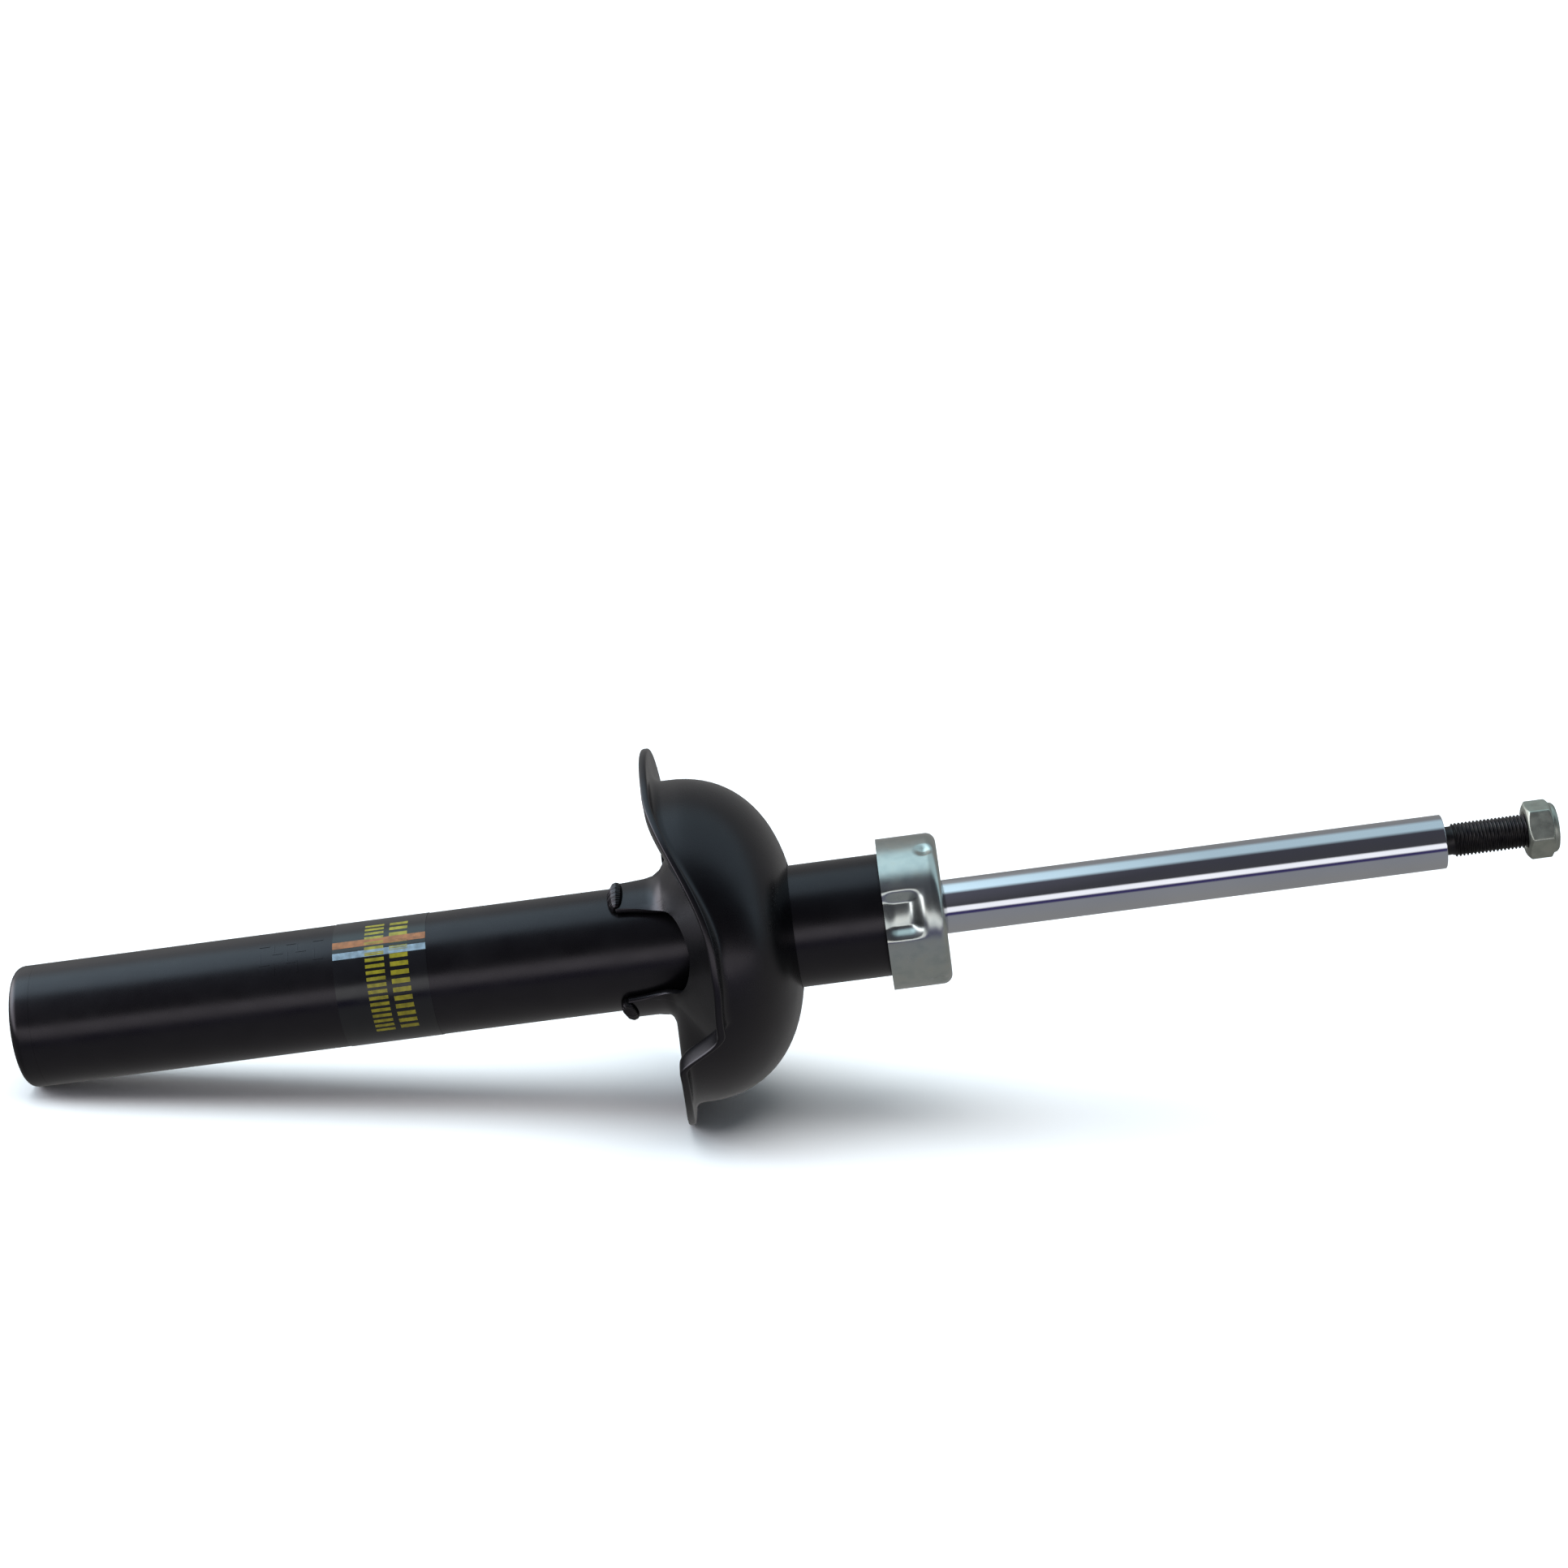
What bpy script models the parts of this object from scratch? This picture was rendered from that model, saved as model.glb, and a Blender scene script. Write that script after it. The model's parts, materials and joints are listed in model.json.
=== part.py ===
"""Front MacPherson strut of a passenger car: a twin-tube gas damper with spring seat, bump cap and top nut.

The strut is built along its own axis and then laid down as it rests on a bench, on the corner of its closed
lower end and on the flat edge of the spring seat. In the strut's own frame Z runs along the axis, from the
lower end face (station 0) to the top nut, X points down towards the bench and Y points across it. An angle
about the axis is counted from X towards Y, so 0 is down, 180 is up and -90 is the front side.

Every dimension below is in millimetres or degrees. add_piece() turns millimetres into metres.
"""

import math

import bmesh
import bpy
from mathutils import Matrix, Vector

MM = 0.001
GAP = 0.3  # clearance between pieces that touch
OUTER_SEGMENTS = 36
INNER_SEGMENTS = 16

# Damper tube, closed at its lower end
TUBE_R = 25.0
TUBE_WALL = 3.0
TUBE_TOP = 378.5
LIP_R = 17.5  # inner radius of the rim rolled over the seal
BASE_CORNER = 4.0
BASE_SPLIT = 9.0  # where the welded base cap meets the tube
BASE_SPIGOT_TOP = 14.0
BASE_FLOOR = 6.0
BASE_WALL = 4.0

# Spring seat, a pressed dome with a helical brim
SHEET = 3.0
LOW_PLANE = 267.3  # underside of the brim on its low side
BRIM_R = 77.5
BRIM_OFFSET = 2.5  # the brim is a little wider at WIDE_SIDE than opposite
WIDE_SIDE = 160.0
CHORD = 68.5  # distance from the axis to the brim's flat edge
CHORD_SHARPNESS = 150.0
BRIM_FILLET = 4.0
DOME_R = 66.0
DOME_START = 276.0
DOME_HEIGHT = 46.0
DOME_P = 2.2
DOME_Q = 2.6
HUB_R = 26.2
SEAT_COLUMNS = 60
DOME_STEPS = 7

# Height of the brim above its low plane, over the angle
SLOW_RISE = (1.6, 180.0, 40.0)  # height, start and length in degrees
FAST_RISE = (19.0, 204.0, 54.0)
DROOP = (1.0, 268.0, 12.0)
STEP_START = 283.0
STEP_LENGTH = 13.0
TAIL = 0.12  # share of the height that is left after the step, and where it runs out
TAIL_START = 297.0
TAIL_LENGTH = 43.0
STEP_COLUMNS = 7

# Bracket under the seat, welded to the tube by three legs
RIM_INSET = 4.4  # from the dome's outer side to the bracket's rim inside it
LEG_END = 250.3
NECK_FILLET = 5.0
NOTCH_CENTRES = (-100.0, 20.0, 140.0)
NOTCH_HALF = 43.0
NOTCH_DEPTH = 0.71  # share of the bracket's profile that a notch cuts away
NOTCH_POWERS = (1.5, 0.62)  # shape of a notch's end
BRACKET_RISE = (19.6, 125.0, 50.0)
BRACKET_STEP_START = 300.0
BRACKET_STEP_LENGTH = 38.0
BRACKET_FLARE_STEPS = 7
BEAD_OFFSET = 0.0  # from the middle of a leg to the middle of its weld bead
BEAD_HALF = 16.0
BEAD_HEIGHT = 1.5
BEAD_LAP = 3.2

# Bump cap, pressed on over the top of the tube
CAP_R = 31.0
CAP_LOW = 356.8
CAP_TOP = 381.0
CAP_SHEET = 1.6
CAP_CORNER = 4.0
CAP_HOLE_R = 13.0
DENT_CENTRES = (-106.0, 14.0, 134.0)
DENT_HALF = 19.0
DENT_FLAT = 10.0
DENT_TOP = 373.0
DENT_SLOPE = 3.5

# Piston rod, stud and top nut
ROD_R = 11.0
ROD_BORE_R = 5.0
ROD_LOW = 323.0
SHOULDER = 584.6
TENON_R = 6.0
TENON_LOW = 290.0
UNDERCUT_R = 5.8
STUD_R = 6.9
STUD_END = 629.4
NUT_LOW = 617.8
NUT_TOP = 630.4
NUT_FLATS = 21.0
NUT_CROWN = 3.0
RING_POCKET = 3.6
RING_POCKET_R = 8.6

# Damper internals
CYLINDER_R = 16.0
CYLINDER_WALL = 1.75
CYLINDER_LOW = 30.0
CYLINDER_TOP = 354.0
FIT_R = TUBE_R - TUBE_WALL - GAP  # radius of everything that fits the tube's bore
BUSH_CLEARANCE = 0.15
GUIDE_LOW = 347.0
PISTON_LOW = 304.5
PISTON_TOP = 318.9
PORT_R = 1.5

# Head: rod guide, bush, O-ring, seal and washer
BUSH_WALL = 1.2
GUIDE_SHELF = 361.5
GUIDE_SHELF_R = 18.5
GUIDE_TOP = 366.1
RING_R = 1.4
RING_CIRCLE_R = 20.25
RING_STATION = 363.6
SEAL_HEIGHT = 5.7

# Base valve, from its nut up to the head of its bolt
VALVE_BOLT_R = 3.1
VALVE_BOLT_LOW = 18.0
VALVE_NUT_FLATS = 10.0
VALVE_NUT_LOW = 18.5
VALVE_NUT_TOP = 21.7
VALVE_DISCS_LOW = 22.0
VALVE_DECK_LOW = 24.0
VALVE_DECK_TOP = 36.0
VALVE_SKIRT = 2.6
VALVE_PLATE = 0.9
VALVE_SPRING_R = 9.0
VALVE_HEAD_LOW = 39.7
VALVE_HEAD_TOP = 42.0
PORT_COUNT = 6

# Rod's bore and tenon, rebound stop and buffer
TENON_BORE_R = 3.2
BORE_TOP = 564.6
STOP_LOW = 328.5
STOP_TOP = 332.7
STOP_R = 14.6
BUFFER_R = 15.0

# Piston and its valves
LAND_R = 15.3
GROOVE_R = 14.3
LAND = 1.3
BAND_R = 15.7
DISC_SHEET = 0.9
WASHER_SHEET = 1.5
PISTON_NUT_FLATS = 17.0
PISTON_NUT_HEIGHT = 8.5

# Label film
LABEL_LOW = 134.0
LABEL_HIGH = 172.0
LABEL_MIDDLE = -110.0
LABEL_HALF = 100.0
LABEL_FILM = 0.15

# Colour, roughness and metallic value of each finish
BLACK_PAINT = ((0.012, 0.013, 0.015), 0.38, 0.0)
ZINC = ((0.55, 0.57, 0.55), 0.28, 1.0)
CHROME = ((0.62, 0.63, 0.66), 0.08, 1.0)
DARK_STEEL = ((0.06, 0.06, 0.065), 0.45, 1.0)
STEEL = ((0.42, 0.42, 0.43), 0.35, 1.0)
SINTERED = ((0.25, 0.24, 0.23), 0.6, 1.0)
BRONZE = ((0.45, 0.32, 0.18), 0.5, 1.0)
RUBBER = ((0.02, 0.02, 0.02), 0.8, 0.0)
NYLON = ((0.75, 0.75, 0.7), 0.5, 0.0)
FILM = ((0.015, 0.015, 0.016), 0.12, 0.0)


def smooth(x):
    """An even step from 0 to 1."""
    x = min(max(x, 0.0), 1.0)
    return x * x * (3.0 - 2.0 * x)


def rise(angle, height, start, length):
    return height * smooth((angle - start) / length)


def polar(radius, angle, station):
    """A point of the strut's own frame."""
    turn = math.radians(angle)
    return Vector((radius * math.cos(turn), radius * math.sin(turn), station))


def even_angles(count):
    return [360.0 * i / count for i in range(count)]


def finish_material(name, look):
    colour, roughness, metallic = look
    material = bpy.data.materials.new(name)
    material.use_nodes = True
    shader = material.node_tree.nodes["Principled BSDF"]
    shader.inputs["Base Color"].default_value = (*colour, 1.0)
    shader.inputs["Roughness"].default_value = roughness
    shader.inputs["Metallic"].default_value = metallic
    return material


def add_piece(name, bm, look, parent):
    """Makes an object of the mesh, in metres, under the empty that lays the strut down."""
    bmesh.ops.recalc_face_normals(bm, faces=bm.faces)
    bmesh.ops.scale(bm, vec=(MM, MM, MM), verts=bm.verts)
    mesh = bpy.data.meshes.new(name)
    bm.to_mesh(mesh)
    bm.free()
    mesh.shade_smooth()
    mesh.set_sharp_from_angle(angle=math.radians(30.0))
    mesh.materials.append(finish_material(name, look))
    piece = bpy.data.objects.new(name, mesh)
    bpy.context.collection.objects.link(piece)
    piece.parent = parent
    return piece


def round_corners(outline, steps=4):
    """Replaces each corner (radius, station, fillet) of a closed outline by an arc of its fillet."""
    points = []
    for i, corner in enumerate(outline):
        here = Vector(corner[:2])
        fillet = corner[2] if len(corner) > 2 else 0.0
        if not fillet:
            points.append(here)
            continue
        to_last = (Vector(outline[i - 1][:2]) - here).normalized()
        to_next = (Vector(outline[(i + 1) % len(outline)][:2]) - here).normalized()
        half = to_last.angle(to_next) / 2.0
        centre = here + (to_last + to_next).normalized() * fillet / math.sin(half)
        start = here + to_last * fillet / math.tan(half) - centre
        end = here + to_next * fillet / math.tan(half) - centre
        points += [centre + start.slerp(end, step / steps).normalized() * fillet for step in range(steps + 1)]
    return points


def lathe(name, outline, look, parent, segments=INNER_SEGMENTS):
    """Spins an outline of (radius, station) corners about the axis. It is closed, or it ends on the axis."""
    points = round_corners(outline)
    bm = bmesh.new()
    verts = [bm.verts.new((radius, 0.0, station)) for radius, station in points]
    pairs = list(zip(verts, verts[1:]))
    if points[0].x > 0.0:
        pairs.append((verts[-1], verts[0]))
    for first, second in pairs:
        bm.edges.new((first, second))
    bmesh.ops.spin(
        bm,
        geom=bm.verts[:] + bm.edges[:],
        cent=(0.0, 0.0, 0.0),
        axis=(0.0, 0.0, 1.0),
        angle=math.tau,
        steps=segments,
        use_merge=True,
    )
    bmesh.ops.remove_doubles(bm, verts=bm.verts, dist=1e-4)
    return add_piece(name, bm, look, parent)


def loft(name, sections, look, parent, closed=True):
    """Skins a row of closed sections. It runs round to the first again, or it is capped at both ends."""
    bm = bmesh.new()
    rows = [[bm.verts.new(point) for point in section] for section in sections]
    following = rows[1:] + rows[:1] if closed else rows[1:]
    for row, other in zip(rows, following):
        for i in range(len(row)):
            bm.faces.new((row[i - 1], row[i], other[i], other[i - 1]))
    if not closed:
        bm.faces.new(rows[0])
        bm.faces.new(rows[-1])
    return add_piece(name, bm, look, parent)


def drill_ports(piece, circle_r, hole_r, count, low, high):
    """Cuts a ring of holes along the axis with one hidden cutter."""
    bm = bmesh.new()
    for angle in even_angles(count):
        middle = polar(circle_r, angle, (low + high) / 2.0)
        bmesh.ops.create_cone(
            bm,
            cap_ends=True,
            segments=8,
            radius1=hole_r,
            radius2=hole_r,
            depth=high - low,
            matrix=Matrix.Translation(middle),
        )
    cutter = add_piece(piece.name + "_ports", bm, STEEL, piece.parent)
    cutter.hide_render = True
    cutter.display_type = "WIRE"
    modifier = piece.modifiers.new("ports", "BOOLEAN")
    modifier.operation = "DIFFERENCE"
    modifier.object = cutter


def offset_sheet(points, thickness):
    """The other side of a sheet, given one side of its profile from the outside in."""
    other = []
    for i, point in enumerate(points):
        ahead = points[min(i + 1, len(points) - 1)]
        behind = points[max(i - 1, 0)]
        along = (ahead - behind).normalized()
        other.append(point + Vector((along.y, -along.x)) * -thickness)
    return other


# ---- spring seat -------------------------------------------------------------------------------------------


def brim_height(angle):
    """Height of the brim above its low plane: a slow rise, a fast one, a slight droop and a step down."""
    turn = angle % 360.0
    up = rise(turn, *SLOW_RISE) + rise(turn, *FAST_RISE) - rise(turn, *DROOP)
    step = (1.0 - TAIL) * smooth((turn - STEP_START) / STEP_LENGTH)
    return up * (1.0 - step - TAIL * smooth((turn - TAIL_START) / TAIL_LENGTH))


def brim_radius(angle):
    """Outline of the brim: nearly a circle, with one flat edge on the side that faces down."""
    circle = BRIM_R + BRIM_OFFSET * math.cos(math.radians(angle - WIDE_SIDE))
    down = math.cos(math.radians(angle))
    if down <= 0.0:
        return circle
    power = CHORD_SHARPNESS
    return (circle**-power + (down / CHORD) ** power) ** (-1.0 / power)


def dome_radius(station):
    share = min(max((station - DOME_START) / DOME_HEIGHT, 0.0), 1.0)
    return DOME_R * (1.0 - share**DOME_P) ** (1.0 / DOME_Q)


def seat_section(angle):
    """The seat's sheet at one angle: brim, fillet, dome wall and crown, then back along the inner side."""
    top = LOW_PLANE + SHEET + brim_height(angle)
    foot = dome_radius(top)
    edge = brim_radius(angle)
    start = min(foot + BRIM_FILLET, edge - 1.0)
    outer = [Vector((edge, top)), Vector((start, top))]
    landing = Vector((dome_radius(top + BRIM_FILLET), top + BRIM_FILLET))
    corner = Vector((foot, top))
    for share in (0.33, 0.67, 1.0):
        first = outer[1].lerp(corner, share)
        outer.append(first.lerp(corner.lerp(landing, share), share))
    low_turn = math.asin(max((landing.y - DOME_START) / DOME_HEIGHT, 0.0) ** (DOME_P / 2.0))
    high_turn = math.acos((HUB_R / DOME_R) ** (DOME_Q / 2.0))
    for step in range(1, DOME_STEPS + 1):
        turn = low_turn + (high_turn - low_turn) * step / DOME_STEPS
        station = DOME_START + DOME_HEIGHT * math.sin(turn) ** (2.0 / DOME_P)
        outer.append(Vector((DOME_R * math.cos(turn) ** (2.0 / DOME_Q), station)))
    inner = offset_sheet(outer, SHEET)
    inner[0] = Vector((edge, top - SHEET))
    sheet = outer + inner[::-1]
    return [polar(max(point.x, TUBE_R + GAP), angle, point.y) for point in sheet]


def make_spring_seat(parent):
    angles = [STEP_START + STEP_LENGTH * i / (STEP_COLUMNS - 1) for i in range(STEP_COLUMNS)]
    rest = SEAT_COLUMNS - STEP_COLUMNS
    span = 360.0 - STEP_LENGTH
    angles += [STEP_START + STEP_LENGTH + span * (i + 1) / (rest + 1) for i in range(rest)]
    return loft("spring_seat", [seat_section(angle) for angle in angles], BLACK_PAINT, parent)


# ---- bracket under the seat --------------------------------------------------------------------------------


def bracket_height(angle):
    """The bracket rises inside the dome before the brim does, and comes down over a longer stretch."""
    turn = angle % 360.0
    return rise(turn, *BRACKET_RISE) * (1.0 - smooth((turn - BRACKET_STEP_START) / BRACKET_STEP_LENGTH))


def bracket_profile(angle):
    """Outer side of the bracket at one angle: leg, fillet, then a flare out to its rim inside the dome."""
    neck = TUBE_R + GAP + SHEET
    corner = Vector((neck, LOW_PLANE))
    station = LOW_PLANE + bracket_height(angle)
    rim = Vector((dome_radius(station + SHEET) - RIM_INSET, station))
    flare = (rim - corner).normalized()
    before = corner - Vector((0.0, NECK_FILLET))
    after = corner + flare * NECK_FILLET
    points = [Vector((neck, LEG_END)), Vector((neck, (LEG_END + before.y) / 2.0))]
    for share in (0.0, 0.25, 0.5, 0.75, 1.0):
        points.append(before.lerp(corner, share).lerp(corner.lerp(after, share), share))
    for step in range(1, BRACKET_FLARE_STEPS + 1):
        points.append(after.lerp(rim, step / BRACKET_FLARE_STEPS))
    return points


def cut_start(points, share):
    """Drops the first part of a profile, keeping its number of points."""
    lengths = [0.0]
    for first, second in zip(points, points[1:]):
        lengths.append(lengths[-1] + (second - first).length)
    start = share * lengths[-1]
    result = []
    for i, point in enumerate(points):
        wanted = start + (lengths[-1] - start) * lengths[i] / lengths[-1]
        k = max(j for j in range(len(points) - 1) if lengths[j] <= wanted + 1e-9)
        part = (wanted - lengths[k]) / (lengths[k + 1] - lengths[k])
        result.append(points[k].lerp(points[k + 1], min(part, 1.0)))
    return result


def bracket_section(angle, share):
    outer = cut_start(bracket_profile(angle), share)
    inner = [
        point + Vector((along.y, -along.x)) * -SHEET
        for point, along in zip(outer, profile_directions(outer))
    ]
    return [polar(max(point.x, TUBE_R + GAP), angle, point.y) for point in outer + inner[::-1]]


def profile_directions(points):
    ends = len(points) - 1
    return [(points[min(i + 1, ends)] - points[max(i - 1, 0)]).normalized() for i in range(ends + 1)]


def make_bracket(parent):
    """The notches between the legs are round-ended slots, open towards the lower end of the tube."""
    sections = []
    for centre in NOTCH_CENTRES:
        for step in range(11):
            across = math.sin(math.pi * (step / 10.0 - 0.5))
            depth = max(1.0 - abs(across) ** NOTCH_POWERS[0], 0.0) ** NOTCH_POWERS[1]
            sections.append(bracket_section(centre + NOTCH_HALF * across, NOTCH_DEPTH * depth))
        leg_width = 120.0 - 2.0 * NOTCH_HALF
        for step in range(1, 5):
            sections.append(bracket_section(centre + NOTCH_HALF + leg_width * step / 5.0, 0.0))
    return loft("seat_bracket", sections, BLACK_PAINT, parent)


def make_weld_beads(parent):
    """A lump of weld at the end of each leg, lapping over its edge."""
    neck = TUBE_R + 2.0 * GAP + SHEET
    foot = TUBE_R + GAP
    end = LEG_END - GAP
    outline = (
        (foot, end - BEAD_LAP),
        (foot + 0.6 * SHEET, end - 0.95 * BEAD_LAP),
        (neck + 0.5 * BEAD_HEIGHT, end - 0.45 * BEAD_LAP),
        (neck + BEAD_HEIGHT, end + 0.15 * BEAD_LAP),
        (neck + 0.6 * BEAD_HEIGHT, end + 0.8 * BEAD_LAP),
        (neck, end + BEAD_LAP),
        (neck, end),
        (foot, end),
    )
    for number, centre in enumerate(NOTCH_CENTRES, start=1):
        middle = centre - 60.0 + BEAD_OFFSET
        sections = []
        for step in range(7):
            across = step / 3.0 - 1.0
            swell = 0.35 + 0.65 * math.sqrt(1.0 - across * across)
            section = []
            for radius, station in outline:
                radius = max(radius - neck, 0.0) * swell + min(radius, neck)
                station = min(station, end) * swell + end * (1.0 - swell) + max(station - end, 0.0) * swell
                section.append(polar(radius, middle + BEAD_HALF * across, station))
            sections.append(section)
        loft(f"seat_weld_{number}", sections, BLACK_PAINT, parent, closed=False)


# ---- bump cap ----------------------------------------------------------------------------------------------


def dent_depth(angle, station):
    """How far the cap's wall is pressed in towards the tube."""
    away = min(abs((angle - centre + 180.0) % 360.0 - 180.0) for centre in DENT_CENTRES)
    across = 1.0 - smooth((away - DENT_FLAT) / (DENT_HALF - DENT_FLAT))
    along = 1.0 - smooth((station - DENT_TOP + DENT_SLOPE) / DENT_SLOPE)
    return (CAP_R - CAP_SHEET - TUBE_R - GAP) * across * along


def cap_section(angle):
    shoulder = round_corners([(CAP_HOLE_R, CAP_TOP), (CAP_R, CAP_TOP, CAP_CORNER), (CAP_R, CAP_LOW)])
    stations = (DENT_TOP, DENT_TOP - DENT_SLOPE / 2.0, DENT_TOP - DENT_SLOPE, CAP_LOW)
    outer = shoulder[:-1] + [Vector((CAP_R, station)) for station in stations]
    inside = CAP_CORNER - CAP_SHEET
    inner_top = CAP_TOP - CAP_SHEET
    inner_r = CAP_R - CAP_SHEET
    corner = round_corners([(CAP_HOLE_R, inner_top), (inner_r, inner_top, inside), (inner_r, CAP_LOW)])
    inner = corner[:-1] + [Vector((inner_r, station)) for station in stations]
    return [polar(p.x - dent_depth(angle, p.y) * (p.y <= DENT_TOP), angle, p.y) for p in outer + inner[::-1]]


def make_bump_cap(parent):
    angles = []
    flank = (DENT_HALF - DENT_FLAT) / 3.0
    rest = 360.0 / len(DENT_CENTRES) - 2.0 * DENT_HALF
    for centre in DENT_CENTRES:
        angles += [centre - DENT_HALF + flank * step for step in range(4)]
        angles.append(centre)
        angles += [centre + DENT_FLAT + flank * step for step in range(4)]
        angles += [centre + DENT_HALF + rest * step / 8.0 for step in range(1, 8)]
    return loft("bump_cap", [cap_section(angle) for angle in angles], ZINC, parent)


# ---- nuts --------------------------------------------------------------------------------------------------


def nut_section(angle, flats, bore_r, low, top, crown):
    """A hexagon nut with conical chamfers. crown is how far its outer end is turned down to a collar."""
    across = flats / 2.0
    hexagon = across / math.cos(math.radians((angle + 30.0) % 60.0 - 30.0))
    face = across - 0.5
    slope = math.tan(math.radians(30.0))
    lead = (hexagon - face) * slope
    collar = top - crown
    section = [(bore_r, low), (face, low), (hexagon, low + lead), (hexagon, collar - lead), (face, collar)]
    if crown:
        section += [(face - 0.6, top - crown * 0.4), (face - 1.8, top)]
    section += [(bore_r, top)]
    return [polar(radius, angle, station) for radius, station in section]


def make_nut(name, look, parent, flats, bore_r, low, top, crown=0.0, columns=36):
    sections = [nut_section(angle, flats, bore_r, low, top, crown) for angle in even_angles(columns)]
    return loft(name, sections, look, parent)


# ---- the strut's sub-assemblies ----------------------------------------------------------------------------


def make_barrel(parent):
    lathe(
        "base_cap",
        [
            (0.0, 0.0),
            (TUBE_R, 0.0, BASE_CORNER),
            (TUBE_R, BASE_SPLIT - GAP),
            (FIT_R, BASE_SPLIT - GAP),
            (FIT_R, BASE_SPIGOT_TOP),
            (FIT_R - BASE_WALL, BASE_SPIGOT_TOP),
            (FIT_R - BASE_WALL, BASE_FLOOR),
            (0.0, BASE_FLOOR),
        ],
        BLACK_PAINT,
        parent,
        OUTER_SEGMENTS,
    )
    lathe(
        "outer_tube",
        [
            (TUBE_R, BASE_SPLIT),
            (TUBE_R, TUBE_TOP, 3.5),
            (LIP_R, TUBE_TOP),
            (LIP_R, TUBE_TOP - TUBE_WALL),
            (TUBE_R - TUBE_WALL, TUBE_TOP - TUBE_WALL, 0.6),
            (TUBE_R - TUBE_WALL, BASE_SPLIT),
        ],
        BLACK_PAINT,
        parent,
        OUTER_SEGMENTS,
    )
    cylinder_outer = CYLINDER_R + CYLINDER_WALL
    lathe(
        "inner_cylinder",
        [
            (CYLINDER_R, CYLINDER_LOW),
            (cylinder_outer, CYLINDER_LOW),
            (cylinder_outer, CYLINDER_TOP),
            (CYLINDER_R, CYLINDER_TOP),
        ],
        STEEL,
        parent,
    )


def make_head(parent):
    """Rod guide with its bush and O-ring, and the seal under the rolled rim of the tube."""
    bush_outer = ROD_R + BUSH_WALL
    spigot_r = CYLINDER_R - GAP
    flange = CYLINDER_TOP + GAP
    guide = [
        (bush_outer + GAP, GUIDE_LOW),
        (spigot_r, GUIDE_LOW),
        (spigot_r, flange),
        (FIT_R, flange),
        (FIT_R, GUIDE_SHELF),
        (GUIDE_SHELF_R, GUIDE_SHELF),
        (GUIDE_SHELF_R, GUIDE_TOP),
        (bush_outer + GAP, GUIDE_TOP),
    ]
    lathe("rod_guide", guide, SINTERED, parent)
    bush_inner = ROD_R + BUSH_CLEARANCE
    bush_low = GUIDE_LOW + 1.0
    bush_top = GUIDE_TOP - 0.6
    bush = [(bush_inner, bush_low), (bush_outer, bush_low), (bush_outer, bush_top), (bush_inner, bush_top)]
    lathe("guide_bush", bush, BRONZE, parent, OUTER_SEGMENTS)
    ring = []
    for angle in even_angles(8):
        around = polar(RING_R, angle, 0.0)
        ring.append((RING_CIRCLE_R + around.x, RING_STATION + around.y))
    lathe("guide_o_ring", ring, RUBBER, parent)
    seal_low = GUIDE_TOP + GAP
    seal_top = seal_low + SEAL_HEIGHT
    lip = ROD_R + GAP
    seal = [
        (lip + 1.3, seal_low),
        (FIT_R, seal_low),
        (FIT_R, seal_top),
        (lip + 1.3, seal_top),
        (lip, seal_top - 1.1),
        (lip + 0.9, seal_top - 2.6),
        (lip, seal_low + 1.8),
    ]
    lathe("rod_seal", seal, RUBBER, parent)
    washer_low = seal_top + GAP
    washer_top = TUBE_TOP - TUBE_WALL - GAP
    hole_r = ROD_R + 1.0
    washer = [(hole_r, washer_low), (FIT_R, washer_low), (FIT_R, washer_top), (hole_r, washer_top)]
    lathe("seal_washer", washer, STEEL, parent)


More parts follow.
